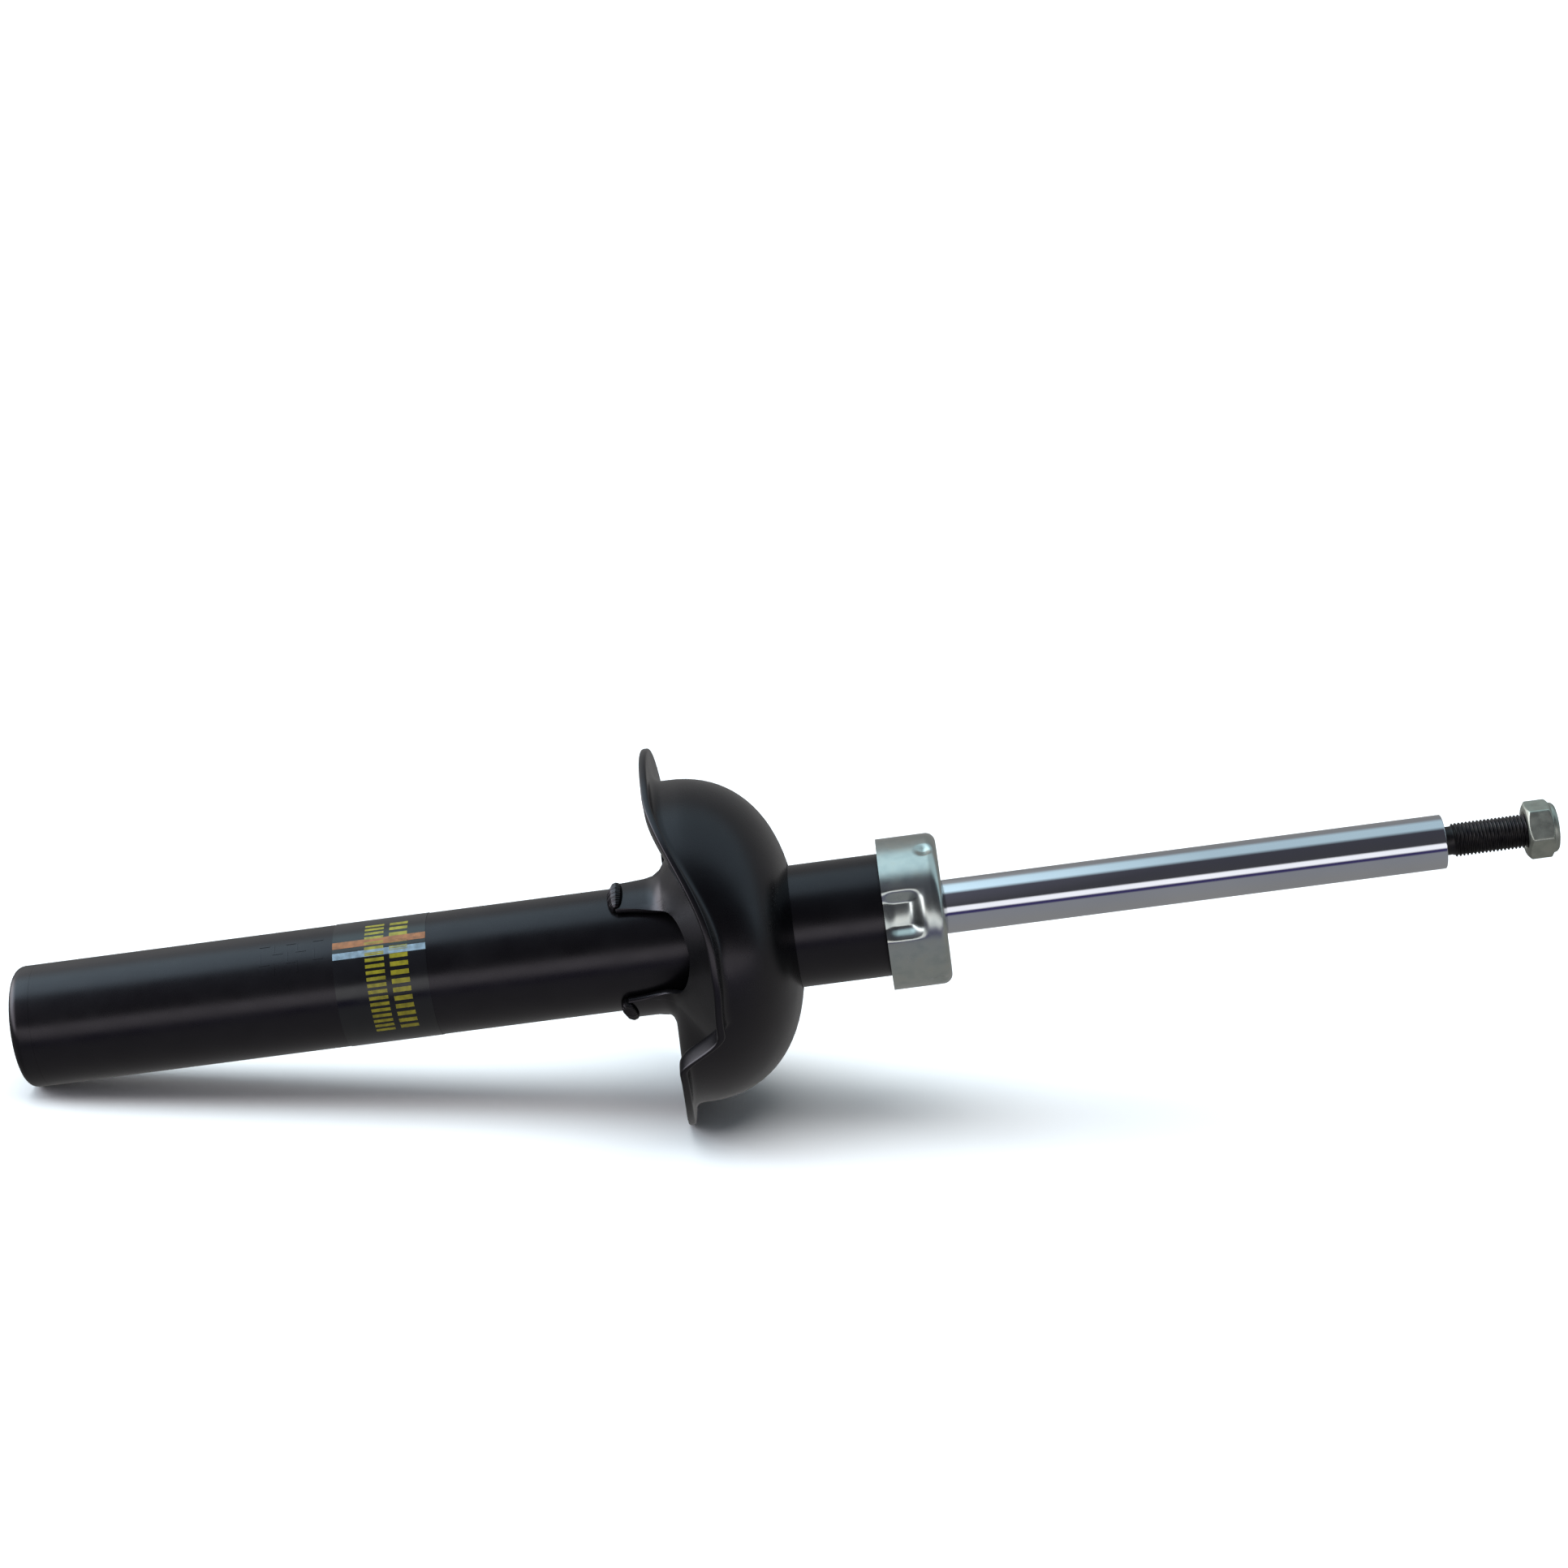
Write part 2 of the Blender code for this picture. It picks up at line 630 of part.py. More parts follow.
def make_base_valve(parent):
    """Valve in the foot of the inner cylinder, standing on the base cap."""
    hole_r = VALVE_BOLT_R + GAP
    deck_r = CYLINDER_R - GAP
    shelf = CYLINDER_LOW - GAP
    foot = BASE_SPIGOT_TOP + GAP
    skirt_r = FIT_R - 0.5
    body_outline = [
        (hole_r, VALVE_DECK_LOW),
        (hole_r, VALVE_DECK_TOP),
        (deck_r, VALVE_DECK_TOP),
        (deck_r, shelf),
        (skirt_r, shelf),
        (skirt_r, foot),
        (skirt_r - VALVE_SKIRT, foot),
        (skirt_r - VALVE_SKIRT, VALVE_DECK_LOW),
    ]
    body = lathe("base_valve_body", body_outline, SINTERED, parent)
    drill_ports(body, 10.0, PORT_R, PORT_COUNT, VALVE_DECK_LOW - 2.0, VALVE_DECK_TOP + 2.0)
    discs_top = VALVE_DECK_LOW - GAP
    disc_step = VALVE_DISCS_LOW + DISC_SHEET
    discs = [
        (hole_r, VALVE_DISCS_LOW),
        (9.0, VALVE_DISCS_LOW),
        (9.0, disc_step),
        (12.5, disc_step),
        (12.5, discs_top),
        (hole_r, discs_top),
    ]
    lathe("base_discs", discs, STEEL, parent)
    plate = VALVE_DECK_TOP + GAP
    plate_top = plate + VALVE_PLATE
    check_plate = [(6.5, plate), (14.2, plate), (14.2, plate_top), (6.5, plate_top)]
    lathe("base_check_plate", check_plate, STEEL, parent)
    spring_top = VALVE_HEAD_LOW - GAP
    spring = [
        (hole_r, spring_top - 0.8),
        (VALVE_SPRING_R, spring_top - 1.0),
        (VALVE_SPRING_R, spring_top - 0.4),
        (hole_r, spring_top),
    ]
    lathe("base_check_spring", spring, STEEL, parent)
    head_r = 6.0
    bolt = [
        (0.0, VALVE_BOLT_LOW),
        (VALVE_BOLT_R, VALVE_BOLT_LOW),
        (VALVE_BOLT_R, VALVE_HEAD_LOW),
        (head_r, VALVE_HEAD_LOW),
        (head_r, VALVE_HEAD_TOP, 0.8),
        (0.0, VALVE_HEAD_TOP),
    ]
    lathe("base_valve_bolt", bolt, STEEL, parent)
    nut = (VALVE_NUT_FLATS, hole_r, VALVE_NUT_LOW, VALVE_NUT_TOP)
    make_nut("base_valve_nut", STEEL, parent, *nut, columns=12)


def make_rod(parent):
    """Hollow chromed rod with a threaded stud at the top and the piston's tenon at the foot."""
    rod = [
        (TENON_BORE_R, TENON_LOW),
        (TENON_R, TENON_LOW, 0.6),
        (TENON_R, ROD_LOW),
        (ROD_R, ROD_LOW),
        (ROD_R, SHOULDER, 0.8),
        (UNDERCUT_R, SHOULDER),
        (UNDERCUT_R, SHOULDER + 3.0),
        (STUD_R, SHOULDER + 4.0),
        (STUD_R, STUD_END, 1.0),
        (0.0, STUD_END),
        (0.0, BORE_TOP),
        (ROD_BORE_R, BORE_TOP - 3.0),
        (ROD_BORE_R, ROD_LOW + 6.0),
        (TENON_BORE_R, ROD_LOW + 4.0),
    ]
    lathe("piston_rod", rod, CHROME, parent, OUTER_SEGMENTS)
    inner = ROD_R + GAP
    stop = [(inner, STOP_LOW), (STOP_R, STOP_LOW), (STOP_R, STOP_TOP), (inner, STOP_TOP)]
    lathe("rebound_stop", stop, STEEL, parent)
    low = STOP_TOP + GAP
    high = GUIDE_LOW - GAP
    buffer = [(inner, low), (BUFFER_R, low, 1.5), (BUFFER_R, high, 1.5), (inner, high)]
    lathe("rebound_buffer", buffer, RUBBER, parent)


def make_piston(parent):
    """Piston and its valves, clamped on the rod's tenon by a nut."""
    hole_r = TENON_R + GAP
    piston_outline = [
        (hole_r, PISTON_LOW),
        (LAND_R, PISTON_LOW),
        (LAND_R, PISTON_LOW + LAND),
        (GROOVE_R, PISTON_LOW + LAND),
        (GROOVE_R, PISTON_TOP - LAND),
        (LAND_R, PISTON_TOP - LAND),
        (LAND_R, PISTON_TOP),
        (hole_r, PISTON_TOP),
    ]
    piston = lathe("piston", piston_outline, SINTERED, parent)
    drill_ports(piston, 10.5, PORT_R, PORT_COUNT, PISTON_LOW - 2.0, PISTON_TOP + 2.0)
    band_low = PISTON_LOW + LAND + GAP
    band_top = PISTON_TOP - LAND - GAP
    band_inner = GROOVE_R + GAP + 0.1
    band = [(band_inner, band_low), (BAND_R, band_low), (BAND_R, band_top), (band_inner, band_top)]
    lathe("piston_band", band, BRONZE, parent)
    plate = PISTON_TOP + GAP
    plate_top = plate + VALVE_PLATE
    check_plate = [(8.0, plate), (14.0, plate), (14.0, plate_top), (8.0, plate_top)]
    lathe("piston_check_plate", check_plate, STEEL, parent)
    spring_r = 11.5
    spring = [
        (hole_r, ROD_LOW - 1.1),
        (spring_r, ROD_LOW - 1.3),
        (spring_r, ROD_LOW - 0.7),
        (hole_r, ROD_LOW - GAP),
    ]
    lathe("piston_check_spring", spring, STEEL, parent)
    discs_top = PISTON_LOW - GAP
    discs_low = discs_top - 2.0 * DISC_SHEET
    discs = [
        (hole_r, discs_low),
        (10.0, discs_low),
        (10.0, discs_low + DISC_SHEET),
        (13.4, discs_low + DISC_SHEET),
        (13.4, discs_top),
        (hole_r, discs_top),
    ]
    lathe("rebound_discs", discs, STEEL, parent)
    washer_top = discs_low - GAP
    washer_low = washer_top - WASHER_SHEET
    washer = [(hole_r, washer_low), (9.5, washer_low), (9.5, washer_top), (hole_r, washer_top)]
    lathe("rebound_washer", washer, STEEL, parent)
    nut_top = washer_low - GAP
    nut = (PISTON_NUT_FLATS, hole_r, nut_top - PISTON_NUT_HEIGHT, nut_top)
    make_nut("piston_nut", STEEL, parent, *nut, columns=12)


def make_top_nut(parent):
    """Hexagon lock nut near the end of the stud, with its nylon ring."""
    ring_low = NUT_TOP - RING_POCKET
    bore_r = STUD_R + GAP
    fold = NUT_TOP - 0.6
    sections = []
    for angle in even_angles(OUTER_SEGMENTS):
        section = nut_section(angle, NUT_FLATS, bore_r, NUT_LOW, NUT_TOP, NUT_CROWN)
        section[-1:] = [
            polar(bore_r + 0.3, angle, NUT_TOP),
            polar(bore_r + 0.3, angle, fold),
            polar(RING_POCKET_R, angle, fold),
            polar(RING_POCKET_R, angle, ring_low),
            polar(bore_r, angle, ring_low),
        ]
        sections.append(section)
    loft("top_nut", sections, ZINC, parent)
    lathe(
        "nut_ring",
        [
            (bore_r, ring_low + GAP),
            (RING_POCKET_R - GAP, ring_low + GAP),
            (RING_POCKET_R - GAP, fold - GAP),
            (bore_r, fold - GAP),
        ],
        NYLON,
        parent,
    )


def make_label(parent):
    inner = TUBE_R + GAP
    outer = inner + LABEL_FILM
    corners = ((inner, LABEL_LOW), (outer, LABEL_LOW), (outer, LABEL_HIGH), (inner, LABEL_HIGH))
    sections = []
    for step in range(21):
        angle = LABEL_MIDDLE + LABEL_HALF * (step / 10.0 - 1.0)
        sections.append([polar(radius, angle, station) for radius, station in corners])
    loft("label_film", sections, FILM, parent, closed=False)


# ---- laying the strut down ---------------------------------------------------------------------------------


def lean_angle():
    """Angle between the axis and the bench when the base corner and the brim's flat edge both touch it."""
    along = LOW_PLANE - BASE_CORNER
    across = CHORD - (TUBE_R - BASE_CORNER)
    return math.atan2(across, along) - math.asin(BASE_CORNER / math.hypot(along, across))


def lay_down(strut):
    """Turns the strut onto the bench, its box centred over the origin and its underside at zero."""
    strut.rotation_euler = (0.0, math.radians(90.0) - lean_angle(), 0.0)
    turn = strut.rotation_euler.to_matrix()
    corners = [turn @ vert.co for piece in strut.children for vert in piece.data.vertices]
    low = Vector([min(corner[i] for corner in corners) for i in range(3)])
    high = Vector([max(corner[i] for corner in corners) for i in range(3)])
    strut.location = (-(low.x + high.x) / 2.0, -(low.y + high.y) / 2.0, -low.z)


def main():
    for old in list(bpy.data.objects):
        bpy.data.objects.remove(old)
    strut = bpy.data.objects.new("strut_axis", None)
    bpy.context.collection.objects.link(strut)
    make_barrel(strut)
    make_head(strut)
    make_base_valve(strut)
    make_rod(strut)
    make_piston(strut)
    make_top_nut(strut)
    make_bump_cap(strut)
    make_spring_seat(strut)
    make_bracket(strut)
    make_weld_beads(strut)
    make_label(strut)
    lay_down(strut)


main()
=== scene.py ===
"""Looks of the strut assembly: fine meshes for the pieces that show, materials, floor, light and camera.

The fine pieces are made in the strut's own frame, in millimetres and degrees. Z runs along its axis from the
lower end face (station 0) to the top nut, X points down towards the floor and Y points away from the camera.
An angle about the axis is counted from X towards Y, so 0 is down, 180 is up and -90 is the front side. The
meshes are then turned into the row frame, and the materials turn their coordinates back, so that patterns run
along the strut.
"""

import json
import math

import bmesh
import bpy
from mathutils import Matrix, Vector


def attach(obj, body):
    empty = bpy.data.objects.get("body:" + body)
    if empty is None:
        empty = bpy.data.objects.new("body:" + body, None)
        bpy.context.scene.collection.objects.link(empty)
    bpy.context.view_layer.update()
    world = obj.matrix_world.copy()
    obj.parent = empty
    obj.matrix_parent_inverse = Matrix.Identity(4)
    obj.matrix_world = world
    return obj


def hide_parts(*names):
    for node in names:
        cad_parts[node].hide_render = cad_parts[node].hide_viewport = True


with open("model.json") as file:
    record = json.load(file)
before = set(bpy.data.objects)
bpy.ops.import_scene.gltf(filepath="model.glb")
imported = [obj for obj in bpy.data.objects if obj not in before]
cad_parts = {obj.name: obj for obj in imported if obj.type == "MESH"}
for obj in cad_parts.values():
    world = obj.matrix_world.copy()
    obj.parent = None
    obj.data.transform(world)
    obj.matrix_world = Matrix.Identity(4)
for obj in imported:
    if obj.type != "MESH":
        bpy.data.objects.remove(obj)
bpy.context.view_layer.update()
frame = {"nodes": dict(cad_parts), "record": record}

MM = 0.001
SKIN = 0.1  # how far the fine surfaces stay inside the CAD model's corners
ROUND_SEGMENTS = 144

# Damper tube
TUBE_R = 25.0
TUBE_WALL = 3.0
TUBE_TOP = 378.5
TUBE_ROLL = 3.5  # radius of the tube's rolled top edge
LIP_R = 17.5
BASE_CORNER = 4.0
BASE_WALL = 4.0
BASE_FLOOR = 2.0  # above the corner's height
BASE_SPLIT = 9.0
BASE_SEAM = 0.05
BASE_SPIGOT_TOP = 14.0
GAP = 0.3

# Spring seat
SHEET = 3.0
LOW_PLANE = 267.3
BRIM_R = 77.5
BRIM_OFFSET = 2.5
WIDE_SIDE = 160.0
CHORD = 68.5
CHORD_SHARPNESS = 150.0
BRIM_FILLET = 4.0
RIM_ROUND = 0.9
RIM_FLAT = 0.6  # least flat width between the rounded rim and the fillet
DOME_R = 66.0
DOME_START = 276.0
DOME_HEIGHT = 46.0
DOME_P = 2.2
DOME_Q = 2.6
HUB_R = 26.2
DOME_STEPS = 18
SLOW_RISE = (1.6, 180.0, 40.0)  # height, start and length in degrees
FAST_RISE = (19.0, 204.0, 54.0)
DROOP = (1.0, 268.0, 12.0)
STEP_START = 283.0
STEP_LENGTH = 13.0
TAIL = 0.12  # share of the height that is left after the step, and where it runs out
TAIL_START = 297.0
TAIL_LENGTH = 43.0
STEP_COLUMNS = 22
SEAT_COLUMNS = 200

# Bracket under the seat
RIM_INSET = 3.5
LEG_END = 250.3
NECK_FILLET = 5.0
NOTCH_CENTRES = (-100.0, 20.0, 140.0)
NOTCH_HALF = 43.0
NOTCH_DEPTH = 0.71
NOTCH_POWERS = (1.5, 0.62)  # shape of a notch's end
EDGE_SHARES = (0.94, 0.8, 0.5, 0.2, 0.06)  # points across the bracket's cut edge
EDGE_SWELL = 0.9
EDGE_SIDE_POWER = 8
NOTCH_COLUMNS = 28
LEG_COLUMNS = 14
BRACKET_RISE = (19.6, 125.0, 50.0)
BRACKET_STEP_START = 300.0
BRACKET_STEP_LENGTH = 38.0
BRACKET_FLARE_STEPS = 16
BEAD_OFFSET = 0.0
BEAD_HALF = 16.0
BEAD_COLUMNS = 48
BEAD_END_SWELL = 0.3  # share of a bead's height that is left at its ends
BEAD_RIPPLE = 0.10
RIPPLE_RATE = 0.9

# Bump cap
CAP_R = 31.0
CAP_LOW = 356.8
CAP_TOP = 381.0
CAP_SHEET = 1.6
CAP_CORNER = 4.0
CAP_HOLE_R = 13.0
CAP_COLUMNS = 288
CAP_ROWS = 34
DENT_CENTRES = (-106.0, 14.0, 134.0)
DENT_HALF = 20.0
DENT_FLAT = 9.5
DENT_MOUTH = 0.55  # share of the dent's depth at the cap's open end
DENT_FULL = 4.5  # from the open end to the dent's full depth, the start of its slope and its end
DENT_SLOPE = 9.5
DENT_END = 17.5
DIMPLE_CENTRES = (-159.0, -39.0, 81.0)
DIMPLE_R = 4.4
DIMPLE_DEPTH = 1.4
DIMPLE_DROP = 5.4

# Rod, stud and nut
ROD_R = 11.0
ROD_EDGE = 0.5
ROD_LOW = 323.0
TENON_LOW = 290.0
TENON_R = 6.0
SHOULDER = 584.6
UNDERCUT_R = 5.8
STUD_SOCKET = 4.0  # depth of the shaft's hole that the stud starts in, and how much narrower it is
SOCKET_INSET = 0.5
STUD_START = 3.5
STUD_FIT = 0.6
STUD_R = 6.9
STUD_END = 629.4
THREAD_PITCH = 1.5
THREAD_DEPTH = 0.8
THREAD_FLANK = 0.86  # share of the half pitch that slopes
THREAD_START = 3.2  # above the shoulder
THREAD_RUN_IN = 1.2
STUD_POINT = 1.4
THREAD_COLUMNS = 60
THREAD_ROWS_A_TURN = 8
NUT_LOW = 617.8
NUT_TOP = 630.4
NUT_FLATS = 21.0
NUT_CROWN = 2.2
NUT_TURN = 5.0
NUT_CHAMFER = 0.5
CHAMFER_ANGLE = 30.0
CHAMFER_LENGTH = 1.6
CHAMFER_SHARPNESS = 60.0
CROWN_INSET = 0.3
CROWN_ROUND = 2.1
NUT_FOLD = 0.6  # sheet that is folded over the nylon ring
BORE_CHAMFER = 0.8
RING_POCKET = 3.6
RING_POCKET_R = 8.6
NUT_ROUNDNESS = 46.0

# Label film
LABEL_LOW = 134.0
LABEL_HIGH = 172.0
LABEL_MIDDLE = -110.0
LABEL_HALF = 100.0
LABEL_SEAT = 0.02  # from the tube to the film's inner side
LABEL_FILM = 0.15
# height over the film of the printed bars and of the stripes of painted reflection
PRINT_AND_REFLECTION_HEIGHT = 0.04
PLATE_STEP = 2.5  # degrees between the columns of a curved plate
TICK_STATIONS = (104.0, 109.5, 115.0, 119.0, 126.0)  # short plain ticks punched into the tube
TICK_ANGLES = (-160.0, -149.0, -138.0)
TICK_LENGTH = 5.2
TICK_WIDTH = 0.7
TICK_HEIGHT = 0.12
MARK_ROWS = ((147.1, 154.9, 6.0), (157.2, 164.6, 8.0))  # low and high station, and the pitch in degrees
MARK_FIRST = -172.0
MARK_LAST = -52.0
MARK_SHARE = 0.55
# angles of the two stripes painted on the label as a reflection of the window on its glossy film
WARM_REFLECTION_STRIPE = (-151.6, -143.9)
COOL_REFLECTION_STRIPE = (-139.1, -132.3)

# Camera
CAMERA_PLACE = (-0.012, -1.325, 0.508)
CAMERA_YAW = 0.50
CAMERA_PITCH = 15.68
CAMERA_ROLL = 1.61
CAMERA_LENS = 78.4
SENSOR = 36.0

# Light: radiance of the studio dome by degrees up from the front's horizon
DOME_BANDS = (
    (-180.0, (0.30, 0.30, 0.30)),
    (-150.0, (0.30, 0.30, 0.30)),
    (-90.0, (0.33, 0.33, 0.33)),
    (-26.0, (0.32, 0.33, 0.36)),
    (-20.0, (0.06, 0.05, 0.16)),
    (-12.0, (0.05, 0.04, 0.14)),
    (-6.0, (1.45, 1.45, 1.50)),
    (9.0, (1.45, 1.45, 1.50)),
    (15.0, (0.07, 0.07, 0.08)),
    (70.0, (0.07, 0.07, 0.09)),
    (84.0, (0.62, 0.82, 0.92)),
    (116.0, (0.62, 0.82, 0.92)),
    (134.0, (0.32, 0.33, 0.34)),
    (180.0, (0.30, 0.30, 0.30)),
)
DOME_STRENGTH = 2.0
LEFT_START = -0.05
LEFT_FULL = -0.5
LEFT_HIGH = 3.0  # gain of the far left side, high up and below the horizon
LEFT_LOW = 0.5
LEFT_TOP = 0.5
WINDOW_SIDE = (-0.62, -0.8)  # where the window starts and is full, by direction
WINDOW_FOOT = (-0.05, 0.15)
WINDOW_COLOUR = (0.94, 0.94, 1.0, 1.0)
WINDOW_STRENGTH = 3.2
FLOOR_SUN = 2.4
FLOOR_HALF = 14.0


def strut_matrix():
    """The strut's own frame in the row frame, from the record's lower end mount."""
    mounts = {mount["name"]: mount for mount in frame["record"]["mounts"]}
    end = mounts["lower_end"]
    outward = next(Vector(value) for key, value in end.items() if key in ("axis", "normal", "dir"))
    along = -outward.normalized()
    across = Vector((0.0, 1.0, 0.0))
    down = across.cross(along)
    turn = Matrix((down, across, along)).transposed().to_4x4()
    return Matrix.Translation(Vector(end["pos_m"])) @ turn


STRUT = strut_matrix()


# ---- mesh helpers ------------------------------------------------------------------------------------------


def smooth(x):
    """An even step from 0 to 1."""
    x = min(max(x, 0.0), 1.0)
    return x * x * (3.0 - 2.0 * x)


def rise(angle, height, start, length):
    return height * smooth((angle - start) / length)


def polar(radius, angle, station):
    turn = math.radians(angle)
    return Vector((radius * math.cos(turn), radius * math.sin(turn), station))


def between(first, last, count):
    """count numbers from first to last, both included."""
    return [first + (last - first) * i / (count - 1) for i in range(count)]


def turn_apart(angle, centres):
    """Degrees from the nearest of several angles."""
    return min(abs((angle - centre + 180.0) % 360.0 - 180.0) for centre in centres)


def add_piece(name, bm, material, body, nodes=(), sharp=32.0):
    """Turns the mesh from the strut's frame into the row frame, hangs the piece on its body's empty and hides
    the CAD nodes that it replaces.
    """
    bmesh.ops.recalc_face_normals(bm, faces=bm.faces)
    bmesh.ops.scale(bm, vec=(MM, MM, MM), verts=bm.verts)
    bm.transform(STRUT)
    mesh = bpy.data.meshes.new(name)
    bm.to_mesh(mesh)
    bm.free()
    mesh.shade_smooth()
    mesh.set_sharp_from_angle(angle=math.radians(sharp))
    mesh.materials.append(material)
    piece = bpy.data.objects.new(name, mesh)
    bpy.context.scene.collection.objects.link(piece)
    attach(piece, body)
    if nodes:
        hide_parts(*nodes)
    return piece


def round_corners(outline, steps=6):
    """Replaces each corner (radius, station, fillet) of a closed outline by an arc of its fillet."""
    points = []
    for i, corner in enumerate(outline):
        here = Vector(corner[:2])
        fillet = corner[2] if len(corner) > 2 else 0.0
        if not fillet:
            points.append(here)
            continue
        to_last = (Vector(outline[i - 1][:2]) - here).normalized()
        to_next = (Vector(outline[(i + 1) % len(outline)][:2]) - here).normalized()
        half = to_last.angle(to_next) / 2.0
        centre = here + (to_last + to_next).normalized() * fillet / math.sin(half)
        start = here + to_last * fillet / math.tan(half) - centre
        end = here + to_next * fillet / math.tan(half) - centre
        for step in range(steps + 1):
            points.append(centre + start.slerp(end, step / steps).normalized() * fillet)
    return points


def lathe_mesh(outline, segments=ROUND_SEGMENTS):
    """Spins an outline of (radius, station) corners about the axis. It is closed, or it ends on the axis."""
    points = round_corners(outline)
    bm = bmesh.new()
    verts = [bm.verts.new((radius, 0.0, station)) for radius, station in points]
    pairs = list(zip(verts, verts[1:]))
    if points[0].x > 0.0:
        pairs.append((verts[-1], verts[0]))
    for first, second in pairs:
        bm.edges.new((first, second))
    bmesh.ops.spin(
        bm,
        geom=bm.verts[:] + bm.edges[:],
        cent=(0.0, 0.0, 0.0),
        axis=(0.0, 0.0, 1.0),
        angle=math.tau,
        steps=segments,
        use_merge=True,
    )
    bmesh.ops.remove_doubles(bm, verts=bm.verts, dist=1e-4)
    return bm


def loft_mesh(sections, closed=True):
    """Skins a row of closed sections. It runs round to the first again, or it is capped at both ends."""
    bm = bmesh.new()
    rows = [[bm.verts.new(point) for point in section] for section in sections]
    following = rows[1:] + rows[:1] if closed else rows[1:]
    for row, other in zip(rows, following):
        for i in range(len(row)):
            bm.faces.new((row[i - 1], row[i], other[i], other[i - 1]))
    if not closed:
        bm.faces.new(rows[0])
        bm.faces.new(rows[-1])
    return bm


# ---- materials ---------------------------------------------------------------------------------------------


class Finish:
    """A Principled material with noise fields in the strut's own coordinates."""

    def __init__(self, name, colour, roughness, metallic=0.0):
        self.material = bpy.data.materials.new(name)
        self.material.use_nodes = True
        self.tree = self.material.node_tree
        self.shader = self.tree.nodes["Principled BSDF"]
        self.shader.inputs["Base Color"].default_value = (*colour, 1.0)
        self.shader.inputs["Roughness"].default_value = roughness
        self.shader.inputs["Metallic"].default_value = metallic
        turned = self.tree.nodes.new("ShaderNodeMapping")
        turned.vector_type = "TEXTURE"
        turned.inputs["Location"].default_value = STRUT.translation
        turned.inputs["Rotation"].default_value = STRUT.to_euler()
        coordinates = self.tree.nodes.new("ShaderNodeTexCoord")
        self.tree.links.new(coordinates.outputs["Object"], turned.inputs["Vector"])
        self.place = turned.outputs["Vector"]

    def set(self, socket, value):
        self.shader.inputs[socket].default_value = value
        return self

    def stretched(self, stretch):
        node = self.tree.nodes.new("ShaderNodeMapping")
        node.inputs["Scale"].default_value = stretch
        self.tree.links.new(self.place, node.inputs["Vector"])
        return node.outputs["Vector"]

    def noise(self, size_mm, detail=3.0, stretch=None):
        """Noise whose cells are about size_mm wide."""
        node = self.tree.nodes.new("ShaderNodeTexNoise")
        node.inputs["Scale"].default_value = 1.0 / (size_mm * MM)
        node.inputs["Detail"].default_value = detail
        self.tree.links.new(self.stretched(stretch) if stretch else self.place, node.inputs["Vector"])
        return node.outputs["Fac"]

    def ramp(self, factor, stops):
        """Stops are (position, colour)."""
        node = self.tree.nodes.new("ShaderNodeValToRGB")
        elements = node.color_ramp.elements
        while len(elements) < len(stops):
            elements.new(0.5)
        for element, (position, colour) in zip(elements, stops):
            element.position = position
            element.color = (*colour, 1.0)
        self.tree.links.new(factor, node.inputs["Fac"])
        return node.outputs["Color"]

    def colours(self, size_mm, stops, detail=4.0, stretch=None):
        colour = self.ramp(self.noise(size_mm, detail, stretch), stops)
        self.tree.links.new(colour, self.shader.inputs["Base Color"])
        return self

    def roughness(self, size_mm, low, high, detail=3.0, stretch=None):
        node = self.tree.nodes.new("ShaderNodeMapRange")
        node.inputs["From Min"].default_value = 0.3
        node.inputs["From Max"].default_value = 0.7
        node.inputs["To Min"].default_value = low
        node.inputs["To Max"].default_value = high
        self.tree.links.new(self.noise(size_mm, detail, stretch), node.inputs["Value"])
        self.tree.links.new(node.outputs["Result"], self.shader.inputs["Roughness"])
        return self

    def bump(self, size_mm, height_mm, detail=2.0, stretch=None, strength=1.0):
        node = self.tree.nodes.new("ShaderNodeBump")
        node.inputs["Distance"].default_value = height_mm * MM
        node.inputs["Strength"].default_value = strength
        self.tree.links.new(self.noise(size_mm, detail, stretch), node.inputs["Height"])
        last = self.shader.inputs["Normal"]
        if last.is_linked:
            self.tree.links.new(last.links[0].from_socket, node.inputs["Normal"])
        self.tree.links.new(node.outputs["Normal"], last)
        return self


def black_paint():
    """Satin black enamel with slight orange peel and faint cloudiness."""
    finish = Finish("black_paint", (0.003, 0.003, 0.004), 0.33)
    finish.set("Specular IOR Level", 0.42)
    finish.set("Specular Tint", (1.0, 0.92, 1.0, 1.0))
    finish.colours(9.0, [(0.35, (0.0018, 0.0018, 0.0022)), (0.7, (0.0040, 0.0040, 0.0046))])
    finish.roughness(14.0, 0.25, 0.32)
    finish.bump(1.6, 0.010)
    return finish.material


def zinc_plate():
    """Bright zinc with a greenish clear passivation."""
    finish = Finish("zinc_plate", (0.58, 0.62, 0.60), 0.2, 1.0)
    finish.colours(6.0, [(0.3, (0.42, 0.46, 0.44)), (0.55, (0.48, 0.51, 0.48)), (0.75, (0.49, 0.50, 0.45))])
    finish.roughness(9.0, 0.20, 0.28)
    finish.bump(5.0, 0.012)
    return finish.material


def dull_zinc():
    """Barrel-plated zinc of the nut: greyer, greener and duller than the cap's."""
    finish = Finish("dull_zinc", (0.42, 0.44, 0.38), 0.45, 1.0)
    finish.colours(4.0, [(0.3, (0.36, 0.38, 0.33)), (0.55, (0.43, 0.45, 0.39)), (0.75, (0.46, 0.46, 0.40))])
    finish.roughness(3.0, 0.38, 0.50)
    finish.bump(1.5, 0.008)
    return finish.material


def chrome_rod():
    """Ground and hard-chromed rod, with the faint rings of its grinding."""
    finish = Finish("chrome_rod", (0.60, 0.61, 0.64), 0.07, 1.0)
    finish.colours(40.0, [(0.3, (0.57, 0.585, 0.62)), (0.7, (0.62, 0.63, 0.655))])
    finish.roughness(2.0, 0.05, 0.10, stretch=(0.2, 0.2, 4.0))
    finish.bump(1.0, 0.0006, stretch=(0.05, 0.05, 6.0))
    return finish.material


